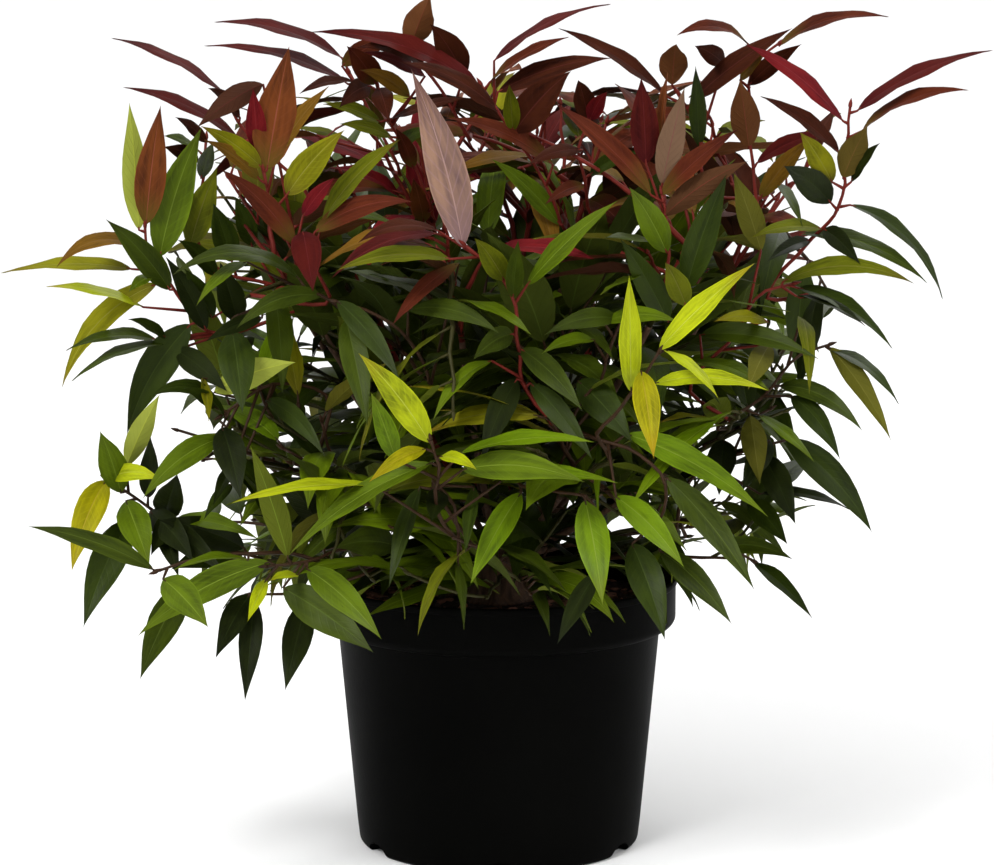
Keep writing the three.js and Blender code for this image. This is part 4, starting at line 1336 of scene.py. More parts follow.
def picked_sprays(mains):
    """All picked shoots with their leaves, and how far along each main shoot they make it reach"""
    sprays, forks = [], {}
    for index, (stem, *rows) in enumerate(PICKED_SHOOTS.values()):
        knots = [photo_point((x, y), depth) for x, y, depth in stem]
        main, share = anchor_of(knots[0], mains)
        forks[main] = max(share, forks.get(main, 0))
        curve = Path([mains[main].point(share)] + knots)
        line = curve.points(PICKED_STEM_STEPS)
        leaves = [picked_leaf(line, row, PICKED_KEYS + index, i) for i, row in enumerate(rows)]
        stem_tint = "red_stem" if knots[-1][2] > RED_STEM_HEIGHT else "rose_stem"
        sprays.append(
            {"curve": curve, "leaves": leaves, "stem_tint": stem_tint, "radius": PICKED_STEM_RADIUS}
        )
    return sprays, forks


# Sprays: a shoot with its leaves, and the tints that it takes


def pick(choices, draw):
    """The choice in whose share a draw from 0 to 1 falls"""
    for name, share in choices:
        draw -= share
        if draw < 0:
            return name
    return choices[-1][0]


def spray_of(mass, order, curve, space):
    """A shoot with its leaves and their tints, ended at its last leaf"""
    leaves, last = leaves_on(mass, order, curve, space)
    height = curve.end[2] + around(HEIGHT_PLAY, mass["index"], order, 41)
    is_red = chance(mass["index"], order, 42) < smooth_step(*RED_HEIGHTS, height)
    # shoots deep in the crown take darker tints, as painted shade
    is_shaded = crown_shares(curve.end[None])[0] < SHADE_SHARE
    shade = LOW_SHADE_TINTS if curve.end[2] < LOW_SHADE_HEIGHT else SHADE_TINTS
    family = shade if is_shaded else RED_TINTS if is_red else GREEN_TINTS
    for i, leaf in enumerate(leaves):
        is_own = i % OWN_TINT_EVERY == 0
        draw = chance(mass["index"], order, i, 44) if is_own else chance(mass["index"], order, 43)
        leaf["tint"] = pick(family, draw)
    stem_tint = "red_stem" if is_red else pick(GREEN_STEM_TINTS, chance(mass["index"], order, 45))
    return {"curve": curve, "leaves": leaves, "last": last, "stem_tint": stem_tint}


def grow(masses, boughs):
    """Picked shoots first, and then each mass's own shoots round them. No shoot ends bare."""
    mains = [
        (mass, order, curve)
        for mass in masses
        for order, curve in enumerate(main_shoots(mass, masses, boughs))
    ]
    sprays, forks = picked_sprays([curve for _, _, curve in mains])
    view = View([leaf for spray in sprays for leaf in spray["leaves"]])
    space = LeafSpace(boughs, view)
    for spray in sprays:
        for leaf in spray["leaves"]:
            space.take(leaf)
    for index, (mass, order, parent) in enumerate(mains):
        main = spray_of(mass, order, parent, space)
        reach = max(main["last"], forks.get(index, 0), FIRST_FORK + FORK_SPAN if order == 0 else 0)
        for i, (share, curve) in enumerate(side_shoots(mass, order, parent, masses, view)):
            side = spray_of(mass, MAIN_ORDERS * (order + 1) + i, curve, space)
            if side["leaves"]:
                sprays.append({**side, "curve": curve.cut(side["last"]), "radius": SIDE_TWIG_RADIUS})
                reach = max(reach, share)
        if reach:
            sprays.append({**main, "curve": parent.cut(reach), "radius": TWIG_ROOT_RADIUS})
    for mass, bough in zip(masses, boughs):
        # old leaves on the cane itself
        sprays.append({**spray_of(mass, CANE_ORDER, bough, space), "curve": None})
    return sprays


# Meshes


class Piece:
    """Faces that are gathered from many small shapes, and made into one mesh object"""

    def __init__(self):
        self.points, self.corners, self.sizes, self.slots, self.uvs = [], [], [], [], []
        self.count = 0

    def add(self, points, faces, slots=None):
        """Adds one shape: points in millimetres, and faces as tuples of their point numbers"""
        corners = np.concatenate([np.array(face) for face in faces]) + self.count
        self.points.append(points)
        self.corners.append(corners)
        self.sizes.append(np.array([len(face) for face in faces]))
        self.slots.append(np.zeros(len(faces), int) if slots is None else np.array(slots))
        self.uvs.append(np.zeros((len(points), 2)))
        self.count += len(points)

    def add_copies(self, points, faces, slots, uvs):
        """Adds many shapes that share their faces. Points is an array of [shape, point, axis]."""
        many, each = points.shape[:2]
        corners = np.concatenate([np.array(face) for face in faces])
        offsets = self.count + np.arange(many)[:, None] * each
        self.points.append(points.reshape(-1, 3))
        self.corners.append((corners[None] + offsets).ravel())
        self.sizes.append(np.tile([len(face) for face in faces], many))
        self.slots.append(np.tile(slots, many))
        self.uvs.append(np.tile(uvs, (many, 1)))
        self.count += many * each

    def build(self, name, materials, smooth=True):
        """Makes the mesh and its object"""
        mesh = bpy.data.meshes.new(name)
        points = np.concatenate(self.points) * MM
        corners = np.concatenate(self.corners)
        sizes = np.concatenate(self.sizes)
        mesh.vertices.add(len(points))
        mesh.vertices.foreach_set("co", points.astype(np.float32).ravel())
        mesh.loops.add(len(corners))
        mesh.loops.foreach_set("vertex_index", corners.astype(np.int32))
        mesh.polygons.add(len(sizes))
        starts = np.concatenate([[0], np.cumsum(sizes)[:-1]])
        mesh.polygons.foreach_set("loop_start", starts.astype(np.int32))
        mesh.polygons.foreach_set("material_index", np.concatenate(self.slots).astype(np.int32))
        mesh.polygons.foreach_set("use_smooth", np.full(len(sizes), smooth))
        layer = mesh.uv_layers.new(name="UVMap")
        layer.data.foreach_set("uv", np.concatenate(self.uvs)[corners].astype(np.float32).ravel())
        for material in materials:
            mesh.materials.append(material)
        mesh.update()
        mesh.validate()
        thing = bpy.data.objects.new(name, mesh)
        bpy.context.scene.collection.objects.link(thing)
        return thing


def ring_faces(rings, sides):
    faces = []
    for ring in range(rings - 1):
        for side in range(sides):
            after = (side + 1) % sides
            low, high = ring * sides, (ring + 1) * sides
            faces.append((low + side, low + after, high + after, high + side))
    return faces


def end_faces(rings, sides):
    """The two flat ends of a form that is made of rings"""
    last = (rings - 1) * sides
    return [tuple(range(sides))[::-1], tuple(range(last, last + sides))]


def tube(points, radii, sides):
    """Points and faces of a round closed tube along a line"""
    line = np.array(points)
    tangents = np.gradient(line, axis=0)
    tangents /= np.linalg.norm(tangents, axis=1)[:, None]
    normal = unit(np.cross(tangents[0], ODD_WAY))
    angles = np.arange(sides) * 2 * math.pi / sides
    rings = []
    for place, tangent, radius in zip(line, tangents, radii):
        normal = unit(normal - tangent * (normal @ tangent))
        binormal = np.cross(tangent, normal)
        circle = np.cos(angles)[:, None] * normal + np.sin(angles)[:, None] * binormal
        rings.append(place + circle * np.reshape(radius, (-1, 1)))
    return np.concatenate(rings), ring_faces(len(line), sides) + end_faces(len(line), sides)


def leaf_sheet_faces(upwards):
    """Faces of one side of a leaf: a fan at its base, rows of quads, and a fan at its tip"""
    columns, rows = len(LEAF_COLUMNS), len(LEAF_ROWS)
    base, tip = 0, 1 + rows * columns
    faces, slots = [], []
    for column in range(columns - 1):
        strip = [(base, 2 + column, 1 + column)]
        for row in range(rows - 1):
            low = 1 + row * columns + column
            strip.append((low, low + 1, low + 1 + columns, low + columns))
        last = 1 + (rows - 1) * columns + column
        strip.append((last, last + 1, tip))
        is_rib = column == (columns - 2) // 2
        faces += strip
        slots += [RIB if is_rib else (TOP if upwards else UNDERSIDE)] * len(strip)
    # both sides are cut along the same diagonals, so neither shows through the other
    return [(face[0],) + face[:0:-1] for face in faces] if upwards else faces, slots


def leaf_sheet(leaves, upwards):
    """Points of one side of all leaves, as an array of [leaf, point, axis]"""
    shares = (0.0,) + LEAF_ROWS + (1.0,)
    middle, across, over = leaf_frames(leaves, shares)
    fields = ("length", "width", "fold", "phase")
    table = np.array([[leaf[field] for field in fields] for leaf in leaves])
    length, width, fold, phase = table.T[..., None, None, None]
    share = np.array(LEAF_ROWS)[None, :, None, None]
    place = np.array(LEAF_COLUMNS)[None, None, :, None]
    half = half_width(share) * length * width / 2
    turn = MARGIN_WAVE_TURN * share + phase + MARGIN_WAVE_SHIFT * np.sign(place)
    wave = MARGIN_WAVE * np.sin(turn) * np.abs(place) ** 2
    swell = LEAF_THICKNESS / 2 * (1 - place**2) * (1 if upwards else -1)
    groove = np.where(np.abs(place) <= RIB_PLACE, GROOVE, 0.0)
    foot_fold, lost_fold = FOLD_SHARES
    cup = fold * (foot_fold - lost_fold * share) * np.abs(place) ** FOLD_CURVE
    cup = cup - ROLLED_MARGIN[0] * np.abs(place) ** ROLLED_MARGIN[1]
    lift = half * (cup + wave) + swell + groove
    rows = slice(1, -1)
    points = middle[:, rows, None] + across[:, rows, None] * half * place + over[:, rows, None] * lift
    flat = points.reshape(len(leaves), -1, 3)
    return np.concatenate([middle[:, :1], flat, middle[:, -1:]], axis=1)


def leaf_uvs():
    """Where each point is on its leaf: from margin to margin, and from foot to tip"""
    rows = [(0.5 + place / 2, share) for share in LEAF_ROWS for place in LEAF_COLUMNS]
    return np.array([(0.5, 0.0)] + rows + [(0.5, 1.0)])


def leaf_piece(leaves):
    piece = Piece()
    uvs = leaf_uvs()
    for upwards in (True, False):
        faces, slots = leaf_sheet_faces(upwards)
        piece.add_copies(leaf_sheet(leaves, upwards), faces, slots, uvs)
    return piece


def add_petiole(piece, leaf):
    """A leaf's stalk, from its twig into the foot of its rib"""
    base, root = leaf["base"], leaf["root"]
    direction = leaf["heading"] * math.cos(leaf["pitch"]) + UP * math.sin(leaf["pitch"])
    run_on, end_radius = PETIOLE_END
    nearer, further = PETIOLE_MIDDLE
    middle = base * nearer + root * further
    points = [base, middle, root, root + direction * run_on]
    radii = [PETIOLE_RADIUS * share for share in PETIOLE_TAPER] + [end_radius]
    piece.add(*tube(points, radii, SIDES_OF_SMALL_TUBES))


def add_shoot(piece, spray):
    """A twig that turns a little at each leaf node, and swells there"""
    curve = spray["curve"]
    nodes = max(1, int(curve.length() / NODE_SPACING))
    steps = nodes * 2
    points, radii = [], []
    for i in range(steps + 1):
        share = i / steps
        along = curve.tangent(share)
        level = level_across(along)
        is_node = i % 2 == 0
        swing = ZIGZAG * (1 if i % 4 == 0 else -1) if is_node and 0 < i < steps else 0
        points.append(curve.point(share) + level * swing)
        radius = spray["radius"] + (TWIG_TIP_RADIUS - spray["radius"]) * share
        radii.append(radius * (NODE_SWELL if is_node else 1))
    piece.add(*tube(points, radii, TWIG_SIDES))
    add_bud(piece, curve.point(1), curve.tangent(1))


def add_bud(piece, tip, away):
    """The pointed bud that ends a shoot"""
    points = [tip + away * BUD_LENGTH * share for share, _ in BUD_PROFILE]
    radii = [BUD_RADIUS * width for _, width in BUD_PROFILE]
    piece.add(*tube(points, radii, SIDES_OF_SMALL_TUBES))


# Materials


def linear(colour):
    """A colour from sRGB out of 255, as Blender's linear base colour"""
    parts = [value / 255 for value in colour]
    return [p / 12.92 if p <= 0.04045 else ((p + 0.055) / 1.055) ** 2.4 for p in parts] + [1.0]


class Paint:
    """A material's nodes, with short calls for the few kinds that are used here"""

    def __init__(self, name):
        self.material = bpy.data.materials.new(name)
        self.material.use_nodes = True
        self.nodes = self.material.node_tree.nodes
        self.links = self.material.node_tree.links
        self.shader = self.nodes["Principled BSDF"]

    def node(self, kind, inputs=None, **settings):
        node = self.nodes.new(kind)
        for name, value in settings.items():
            setattr(node, name, value)
        for name, value in (inputs or {}).items():
            self.feed(node.inputs[name], value)
        return node

    def feed(self, socket, value):
        if isinstance(value, bpy.types.NodeSocket):
            self.links.new(value, socket)
        else:
            socket.default_value = value

    def math(self, operation, *values):
        node = self.node("ShaderNodeMath", operation=operation)
        for socket, value in zip(node.inputs, values):
            self.feed(socket, value)
        return node.outputs[0]

    def times(self, first, second):
        return self.math("MULTIPLY", first, second)

    def place(self):
        return self.node("ShaderNodeTexCoord").outputs["Object"]

    def noise(self, scale, detail, place=None):
        inputs = {"Vector": place or self.place(), "Scale": scale, "Detail": detail}
        return self.node("ShaderNodeTexNoise", inputs).outputs["Fac"]

    def between(self, share, low, high):
        """A number that goes from low to high as a share goes from 0 to 1"""
        inputs = {"Value": share, "To Min": low, "To Max": high}
        return self.node("ShaderNodeMapRange", inputs).outputs["Result"]

    def ramp(self, value, start, end):
        """Goes smoothly from 0 to 1 as a value goes from start to end"""
        inputs = {"Value": value, "From Min": start, "From Max": end}
        node = self.node("ShaderNodeMapRange", inputs, interpolation_type="SMOOTHSTEP")
        return node.outputs["Result"]

    def mix(self, share, first, second):
        node = self.node("ShaderNodeMix", data_type="RGBA")
        self.feed(node.inputs[0], share)
        self.feed(node.inputs[6], first)
        self.feed(node.inputs[7], second)
        return node.outputs[2]

    def bump(self, height, distance, strength):
        inputs = {"Height": height, "Distance": distance, "Strength": strength}
        self.set(Normal=self.node("ShaderNodeBump", inputs).outputs["Normal"])

    def set(self, **values):
        for name, value in values.items():
            self.feed(self.shader.inputs[name.replace("_", " ")], value)

    def finish(self, colour, gloss, spots):
        """Sets a colour, with a gloss of (specular level, least roughness, most roughness) in spots"""
        level, smoothest, roughest = gloss
        roughness = self.between(self.noise(*spots), smoothest, roughest)
        self.set(Base_Color=colour, Roughness=roughness, Specular_IOR_Level=level)


def shaded(colour, factor):
    """A darker tone of a colour, or a lighter one"""
    return [min(1.0, part * factor) for part in colour[:3]] + [1.0]


def sunned(colour, factor):
    """A lighter tone of a colour, and a yellower one"""
    return [min(1.0, part * factor * warmth) for part, warmth in zip(colour, SUN_WARMTH)] + [1.0]


def leaf_place(paint):
    """How far from the midrib, where 0.5 is the margin, how far from foot to tip, and how far across"""
    uv_map = paint.node("ShaderNodeUVMap", uv_map="UVMap")
    parts = paint.node("ShaderNodeSeparateXYZ", {"Vector": uv_map.outputs[0]})
    across = paint.math("ABSOLUTE", paint.math("SUBTRACT", parts.outputs["X"], 0.5))
    return across, parts.outputs["Y"], parts.outputs["X"]


def vein_pattern(paint, across, along):
    """Side veins that leave the midrib at a slant"""
    run = paint.math("SUBTRACT", paint.times(along, VEIN_PACE), paint.times(across, VEIN_SLANT))
    return paint.math("POWER", paint.math("MAXIMUM", paint.math("SINE", run), 0.0), VEIN_SHARPNESS)


def sheen_bands(paint, sideways, along):
    """Painted sheen: uneven lighter and darker bands that run the length of a leaf, and differ from leaf to
    leaf
    """
    shift = paint.times(paint.noise(*SHEEN_BAND_SPOTS), SHEEN_BAND_SHIFT)
    wide, long = SHEEN_BAND_SCALES
    inputs = {"X": paint.times(sideways, wide), "Y": paint.times(along, long), "Z": shift}
    return paint.noise(*SHEEN_BAND_GRAIN, paint.node("ShaderNodeCombineXYZ", inputs).outputs[0])


def mottled_and_sheened_top(paint, base, sideways, along):
    """A leaf top's colour: its own tone, uneven in spots, with bands of painted sheen"""
    spots = paint.math(
        "ADD",
        paint.times(paint.noise(*BROAD_SPOTS), BROAD_WEIGHT),
        paint.times(paint.noise(*FINE_SPOTS), FINE_WEIGHT),
    )
    tone = paint.math("ADD", spots, paint.times(sheen_bands(paint, sideways, along), SHEEN_BAND_WEIGHT))
    dark, light = MOTTLE_AND_SHEEN_TONES
    return paint.mix(paint.between(tone, *MOTTLE_AND_SHEEN_RANGE), shaded(base, dark), sunned(base, light))


def leaf_top(name, colour, tip, foot, gloss):
    """A leaf's top: mottled, with bands of painted sheen, its tip and foot in tints of their own, a painted
    highlight along its margins, and pale veins
    """
    paint = Paint(name)
    base = linear(colour)
    across, along, sideways = leaf_place(paint)
    # the leaf's own tone in spots, with bands of painted sheen
    mottle = mottled_and_sheened_top(paint, base, sideways, along)
    uneven = paint.between(paint.noise(*TIP_SPOTS), *TIP_RANGE)
    tipped = paint.mix(paint.times(paint.ramp(along, TIP_START, 1.0), uneven), mottle, linear(tip))
    at_foot = paint.times(paint.ramp(along, FOOT_END, 0.0), FOOT_WEIGHT)
    footed = paint.mix(at_foot, tipped, linear(foot))
    # painted highlight along the margins
    margin_highlight = paint.times(paint.ramp(across, MARGIN_HIGHLIGHT_START, 0.5), MARGIN_HIGHLIGHT_WEIGHT)
    with_margin_highlight = paint.mix(margin_highlight, footed, sunned(base, MARGIN_HIGHLIGHT_TONE))
    veins = vein_pattern(paint, across, along)
    veined = paint.mix(paint.times(veins, VEIN_WEIGHTS[0]), with_margin_highlight, shaded(base, VEIN_TONES[0]))
    paint.finish(veined, gloss, TOP_SHEEN_SPOTS)
    skin = paint.times(paint.noise(*SKIN_GRAIN), SKIN_DEPTH)
    paint.bump(paint.math("ADD", paint.times(veins, VEIN_DEPTH), skin), *LEAF_RELIEF)
    return paint.material


def leaf_underside(name, colour):
    """A leaf's underside: one dull tone with darker veins"""
    paint = Paint(name)
    base = linear(colour)
    dark, light = UNDERSIDE_TONES
    spots = paint.between(paint.noise(*UNDERSIDE_SPOTS), *UNDERSIDE_RANGE)
    mottle = paint.mix(spots, shaded(base, dark), shaded(base, light))
    across, along, _ = leaf_place(paint)
    veins = vein_pattern(paint, across, along)
    veined = paint.mix(paint.times(veins, VEIN_WEIGHTS[1]), mottle, shaded(base, VEIN_TONES[1]))
    paint.finish(veined, UNDERSIDE_GLOSS, UNDERSIDE_SHEEN_SPOTS)
    paint.bump(veins, *LEAF_RELIEF)
    return paint.material


def spotted(name, colour, look):
    """A surface in two tones of one colour, for ribs, shoots, crumbs and chips"""
    spots, limits, (dark, light), roughness, level, grain, relief = look
    paint = Paint(name)
    base = linear(colour)
    share = paint.between(paint.noise(*spots), *limits)
    tone = paint.mix(share, shaded(base, dark), shaded(base, light))
    paint.set(Base_Color=tone, Roughness=roughness, Specular_IOR_Level=level)
    if grain:
        paint.bump(paint.noise(*grain), *relief)
    return paint.material


# Pot, potting mix, short stem and boughs


def turned(profile, sides):
    """Points and faces of a profile of (radius, height) turned about the upright axis"""
    angles = np.arange(sides) * 2 * math.pi / sides
    rings = [
        np.stack([radius * np.cos(angles), radius * np.sin(angles), np.full(sides, height)], axis=1)
        for radius, height in profile
    ]
    return np.concatenate(rings), ring_faces(len(profile), sides)


def rounded(corner, start, turn, radius, steps=5):
    """An arc of a profile about a centre, from one direction on by a turn, both in degrees"""
    angles = np.radians(np.linspace(start, start + turn, steps))
    return [(corner[0] + radius * math.cos(a), corner[1] + radius * math.sin(a)) for a in angles]


def wall_radius(height):
    """The pot's outer radius below its collar"""
    return BASE_RADIUS + (BODY_TOP_RADIUS - BASE_RADIUS) * height / COLLAR_FOOT


def closed(profile, sides):
    """Points and faces of a turned profile with its flat ends"""
    points, faces = turned(profile, sides)
    return points, faces + end_faces(len(profile), sides)


def pot_profile():
    """Up the outside from the middle of the underside, over the lip, and down to the floor inside"""
    lip_foot = POT_HEIGHT - LIP_HEIGHT
    outer = [(CENTRE_RING, 0), (UNDERSIDE_RING, 0)]
    outer += rounded((BASE_RADIUS - FOOT_BEND, FOOT_BEND), -90, 84, FOOT_BEND)
    outer += [(wall_radius(height), height) for height in WALL_RINGS]
    collar = [(BODY_TOP_RADIUS + 0.6, COLLAR_FOOT)]
    collar += rounded((COLLAR_RADIUS - COLLAR_BEND, COLLAR_FOOT + 6), -80, 80, COLLAR_BEND, 7)
    lip = [(COLLAR_RADIUS, lip_foot - RIM_BEND), (COLLAR_RADIUS, lip_foot)]
    lip += rounded((COLLAR_RADIUS - LIP_BEND + LIP_PROUD, lip_foot + 1), -60, 60, LIP_BEND, 4)
    lip += rounded((COLLAR_RADIUS - RIM_BEND + LIP_PROUD, POT_HEIGHT - RIM_BEND), 0, 90, RIM_BEND, 5)
    inner = [(COLLAR_RADIUS - WALL, POT_HEIGHT - 0.6), (COLLAR_RADIUS - WALL, COLLAR_FOOT + 8)]
    inner += [(BODY_TOP_RADIUS - WALL, COLLAR_FOOT + 2), (wall_radius(FLOOR) - WALL, FLOOR)]
    return outer + collar + lip + inner + [(CENTRE_RING, FLOOR)]


def cut_notches(pot):
    """Cuts the drain notches up into the pot's lower edge"""
    cutters = Piece()
    profile = [(radius, -NOTCH_DEPTH) for radius in (CUTTER_CENTRE, NOTCH_WIDTH / 2)]
    profile += [(radius, NOTCH_DEPTH) for radius in (NOTCH_WIDTH / 2, CUTTER_CENTRE)]
    points, faces = closed(profile, NOTCH_SIDES)
    across, up = points[:, 0].copy(), points[:, 1] * 2 * NOTCH_HEIGHT / NOTCH_WIDTH
    outwards = points[:, 2] + BASE_RADIUS
    for i in range(NOTCH_COUNT):
        angle = math.radians(-90 + 360 * i / NOTCH_COUNT)
        x = outwards * math.cos(angle) - across * math.sin(angle)
        y = outwards * math.sin(angle) + across * math.cos(angle)
        cutters.add(np.stack([x, y, up], axis=1), faces)
    cutter = cutters.build("notch_cutters", [])
    boolean = pot.modifiers.new("notches", "BOOLEAN")
    boolean.object = cutter
    boolean.solver = "EXACT"
    graph = bpy.context.evaluated_depsgraph_get()
    pot.data = bpy.data.meshes.new_from_object(pot.evaluated_get(graph))
    pot.modifiers.clear()
    bpy.data.objects.remove(cutter)
    pot.data.set_sharp_from_angle(angle=math.radians(SHARP_ANGLE))


def pot_plastic():
    """Black plastic with faint scuffs"""
    paint = Paint("pot_plastic")
    scuffs = paint.noise(*PLASTIC_SCUFFS)
    tone = paint.mix(paint.between(scuffs, *PLASTIC_RANGE), *PLASTIC_TONES)
    roughness = paint.between(scuffs, *PLASTIC_ROUGHNESS)
    paint.set(Base_Color=tone, Roughness=roughness, Specular_IOR_Level=PLASTIC_LEVEL)
    paint.bump(paint.noise(*PLASTIC_GRAIN), *PLASTIC_RELIEF)
    return paint.material


def make_pot():
    piece = Piece()
    piece.add(*closed(pot_profile(), POT_SIDES))
    pot = piece.build("nursery_pot", [pot_plastic()])
    cut_notches(pot)
    finish_piece(pot, ["pot"])


def soil_height(x, y):
    """Height of the potting mix: a low mound, with crumbs from waves whose lengths never fit each other"""
    share = (np.hypot(x, y) - SOIL_MOUND_RADIUS) / (COLLAR_RADIUS - SOIL_MOUND_RADIUS)
    fall = SOIL_FALL * np.clip(share, 0, 1)
    crumbs = np.sin(x * 0.31 + 1.7 * np.sin(y * 0.23)) * np.sin(y * 0.37 + 1.3 * np.sin(x * 0.19))
    fine = np.sin(x * 1.13 + y * 0.71) * np.sin(y * 1.31 - x * 0.53)
    return SOIL_TOP - MIX_SINK - fall + CRUMB_HEIGHT * crumbs + FINE_CRUMB_HEIGHT * fine


def chip_shape(i):
    """One chip of bark: a split flake with chamfered ends, lying nearly flat"""
    length = between(CHIP_LENGTHS, i, 61)
    width = length * between(CHIP_WIDTHS, i, 62)
    thick = length * between(CHIP_THICKNESSES, i, 63)
    points = []
    for end, girth in CHIP_ENDS:
        for k in range(CHIP_SIDES):
            angle = k * 2 * math.pi / CHIP_SIDES
            rough = girth * between(CHIP_UNEVENNESS, i, k, int(end * 100) + 60, 64)
            y, z = math.cos(angle) * width / 2 * rough, math.sin(angle) * thick / 2 * rough
            points.append((end * length, y, z))
    faces = ring_faces(len(CHIP_ENDS), CHIP_SIDES) + end_faces(len(CHIP_ENDS), CHIP_SIDES)
    roll, lean, turn = around(CHIP_ROLL, i, 67), around(CHIP_LEAN, i, 66), between(FULL_TURN, i, 65)
    for axis, angle in (((1.0, 0, 0), roll), ((0, 1.0, 0), lean), (UP, turn)):
        points = [turned_about(np.array(point), np.array(axis), angle) for point in points]
    return np.array(points), faces, thick


def mix_body(edge):
    """The filling, with a crumbly top"""
    profile = [(CENTRE_RING, MIX_FOOT), (wall_radius(MIX_FOOT) - WALL - MIX_GAP, MIX_FOOT)]
    profile += [(BODY_TOP_RADIUS - WALL - MIX_GAP, COLLAR_FOOT), (edge, MIX_SHOULDER)]
    profile += [(radius, SOIL_TOP) for radius in np.linspace(CENTRE_RING, edge, MIX_RINGS)[::-1]]
    points, faces = closed(profile, MIX_SIDES)
    top = points[:, 2] == SOIL_TOP
    points[top, 2] = soil_height(points[top, 0], points[top, 1])
    return points, faces


def add_chips(piece, edge):
    """Loose chips of bark, pressed into the mix"""
    off_stem, off_wall = CHIP_CLEARANCES
    squares = ((STEM_FOOT_RADIUS + off_stem) ** 2, (edge - off_wall) ** 2)
    for i in range(CHIP_COUNT):
        radius = math.sqrt(between(squares, i, 68))
        angle = i * GOLDEN_ANGLE
        x, y = radius * math.cos(angle), radius * math.sin(angle)
        shape, faces, thick = chip_shape(i)
        place = np.array([x, y, float(soil_height(x, y)) + thick * between(CHIP_RISE, i, 69)])
        piece.add(shape + place, faces, [1 + i % len(CHIP_TINTS)] * len(faces))


def make_potting_mix():
    piece = Piece()
    edge = COLLAR_RADIUS - WALL - MIX_GAP
    piece.add(*mix_body(edge))
    add_chips(piece, edge)
    paints = [spotted("mix_crumbs", MIX_TINT, CRUMB_LOOK)]
    paints += [spotted(name, colour, CHIP_LOOK) for name, colour in CHIP_TINTS.items()]
    thing = piece.build("bark_mix", paints, smooth=False)
    finish_piece(thing, ["potting_mix"])


def cane_bark():
    """Brown bark, darkened as painted shade, with long shallow cracks, which are darker"""
    paint = Paint("cane_bark")
    parts = paint.node("ShaderNodeMapping", {"Vector": paint.place(), "Scale": BARK_STRETCH})
    cracks = paint.noise(*BARK_CRACKS, parts.outputs["Vector"])
    dark, light = BARK_AND_SHADE_TINTS
    tone = paint.mix(paint.between(cracks, *BARK_RANGE), linear(dark), linear(light))
    paint.set(Base_Color=tone, Roughness=BARK_ROUGHNESS, Specular_IOR_Level=BARK_LEVEL)
    paint.bump(cracks, *BARK_RELIEF)
    return paint.material


def add_cane(piece, index, curve):
    """A bough: ridged along its length, with a ring at each old leaf node"""
    count = max(6, int(curve.length() / CANE_STEP))
    points = [curve.point(i / count) for i in range(count + 1)]
    angles = np.arange(CANE_SIDES) * 2 * math.pi / CANE_SIDES
    (deep, few, lean), (shallow, many, back) = CANE_RIDGES
    radii = []
    for i in range(count + 1):
        radius = BOUGH_ROOT_RADIUS + (BOUGH_TIP_RADIUS - BOUGH_ROOT_RADIUS) * (i / count)
        from_ring = i * CANE_STEP % NODE_SPACING - CANE_RING_PLACE
        ring = CANE_RING_HEIGHT * math.exp(-(from_ring**2) / CANE_RING_WIDTH)
        ridges = deep * np.sin(few * angles + index + lean * i)
        ridges = ridges + shallow * np.sin(many * angles + back * i)
        radii.append(radius * (1 + ridges) + ring)
    piece.add(*tube(points, radii, CANE_SIDES))


def add_short_stem(piece):
    """The clump's foot, furrowed upright, with low knots where canes leave it"""
    heights = [(STEM_FOOT_RADIUS, 0.0), *STEM_FLARE, (STEM_RADIUS, STEM_FLARE_HEIGHT)]
    profile = [(radius, SHORT_STEM_FOOT + height) for radius, height in heights]
    profile += [(STEM_RADIUS, SHORT_STEM_FOOT + STEM_MIDDLE_RING), (STEM_RADIUS, STEM_HEAD_HEIGHT - 3)]
    profile += rounded((0, STEM_HEAD_HEIGHT), 0, 88, STEM_RADIUS, 12)
    points, faces = closed(profile, SHORT_STEM_SIDES)
    angles = np.arctan2(points[:, 1], points[:, 0])
    rise = points[:, 2]
    relief = sum(depth * np.sin(number * angles + slant * rise) for depth, number, slant in STEM_FURROWS)
    depth, number, pace = STEM_KNOTS
    relief += depth * np.sin(number * angles + 1.0) * np.sin(pace * rise)
    points[:, :2] *= (1 + relief)[:, None]
    piece.add(points, faces)


def make_canes(masses, boughs):
    """The short stem and all boughs, in one mesh"""
    piece = Piece()
    add_short_stem(piece)
    for mass, curve in zip(masses, boughs):
        add_cane(piece, mass["index"], curve)
    thing = piece.build("short_stem_and_canes", [cane_bark()])
    nodes = ["short_stem"] + [f"bough_{mass['label']}" for mass in masses]
    finish_piece(thing, nodes)


def finish_piece(thing, nodes):
    """What a piece rides on, and the solids that it stands in for"""
    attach(thing, "root")
    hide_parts(*nodes)


# Stage, lights and camera


def make_stage():
    """A pale round floor that curves up into a backdrop on all sides"""
    angles = np.linspace(0, math.pi / 2, STAGE_BEND_STEPS)
    flat = STAGE_RADIUS - STAGE_BEND
    profile = [(radius, 0.0) for radius in STAGE_RINGS]
    profile += [(flat + STAGE_BEND * math.sin(a), STAGE_BEND * (1 - math.cos(a))) for a in angles]
    profile.append((STAGE_RADIUS, STAGE_HEIGHT))
    points, faces = turned(profile, STAGE_SIDES)
    stage = Piece()
    stage.add(points / MM, faces)
    paint = Paint("pale_floor")
    paint.set(Base_Color=FLOOR_GREY, Roughness=FLOOR_ROUGHNESS, Specular_IOR_Level=FLOOR_LEVEL)
    stage.build("pale_floor", [paint.material])


def add_light(name, place, size, watts):
    data = bpy.data.lights.new(name, "AREA")
    data.shape = "DISK"
    data.size = size
    data.energy = watts
    light = bpy.data.objects.new(name, data)
    light.location = place
    light.rotation_euler = (Vector(LIT_PLACE) - Vector(place)).to_track_quat("-Z", "Y").to_euler()
    bpy.context.scene.collection.objects.link(light)


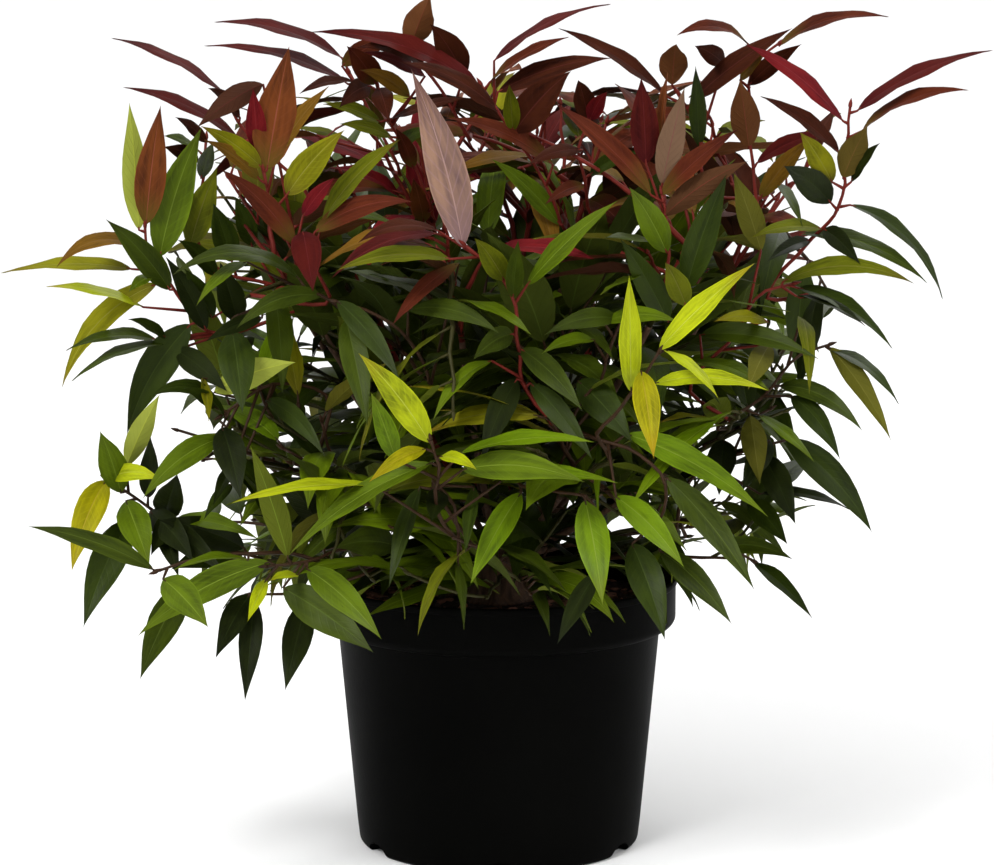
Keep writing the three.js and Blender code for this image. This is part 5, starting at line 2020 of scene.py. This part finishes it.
def make_lights():
    for name, (place, size, watts) in LIGHTS.items():
        add_light(name, place, size, watts)
    world = bpy.data.worlds.new("studio")
    world.use_nodes = True
    sky = world.node_tree.nodes["Background"].inputs
    sky["Color"].default_value = (1, 1, 1, 1)
    sky["Strength"].default_value = SKY_STRENGTH
    bpy.context.scene.world = world
    bpy.context.scene.view_settings.view_transform = "Standard"


def make_camera():
    data = bpy.data.cameras.new("photo_camera")
    data.sensor_fit = "HORIZONTAL"
    data.sensor_width = SENSOR_WIDTH
    data.lens = CAMERA_LENS
    camera = bpy.data.objects.new("photo_camera", data)
    camera.location = CAMERA_PLACE
    camera.rotation_euler = (math.radians(90 - CAMERA_PITCH), 0, 0)
    bpy.context.scene.collection.objects.link(camera)
    bpy.context.scene.camera = camera


def make_leaves(sprays, nodes):
    """All leaves, joined by tint"""
    leaves = [leaf for spray in sprays for leaf in spray["leaves"]]
    for tint, (top, under, rib, tip) in TINTS.items():
        own = [leaf for leaf in leaves if leaf["tint"] == tint]
        if not own:
            continue
        foot = YOUNG_FOOT if tint in GREENING_TINTS else top
        gloss = YOUNG_GLOSS if tint in YOUNG_TINTS else GROWN_GLOSS
        materials = [
            leaf_top(f"{tint}_top", top, tip, foot, gloss),
            leaf_underside(f"{tint}_underside", under),
            spotted(f"{tint}_rib", rib, RIB_LOOK),
        ]
        thing = leaf_piece(own).build(f"leaves_{tint}", materials)
        finish_piece(thing, nodes)


def make_twigs(sprays, nodes):
    """All twigs with their buds and leaf stalks, joined by tint"""
    for tint, colour in STEM_TINTS.items():
        piece = Piece()
        for spray in (spray for spray in sprays if spray["stem_tint"] == tint):
            if spray["curve"]:
                add_shoot(piece, spray)
            for leaf in spray["leaves"]:
                add_petiole(piece, leaf)
        thing = piece.build(f"twigs_{tint}", [spotted(tint, colour, SHOOT_LOOK)])
        finish_piece(thing, nodes)


def main():
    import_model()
    masses = masses_of(TIERS)
    boughs = [bough_curve(mass, masses) for mass in masses]
    sprays = grow(masses, boughs)
    nodes = [f"foliage_{mass['label']}" for mass in masses]
    make_leaves(sprays, nodes)
    make_twigs(sprays, nodes)
    make_canes(masses, boughs)
    make_pot()
    make_potting_mix()
    make_stage()
    make_lights()
    make_camera()
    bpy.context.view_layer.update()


main()
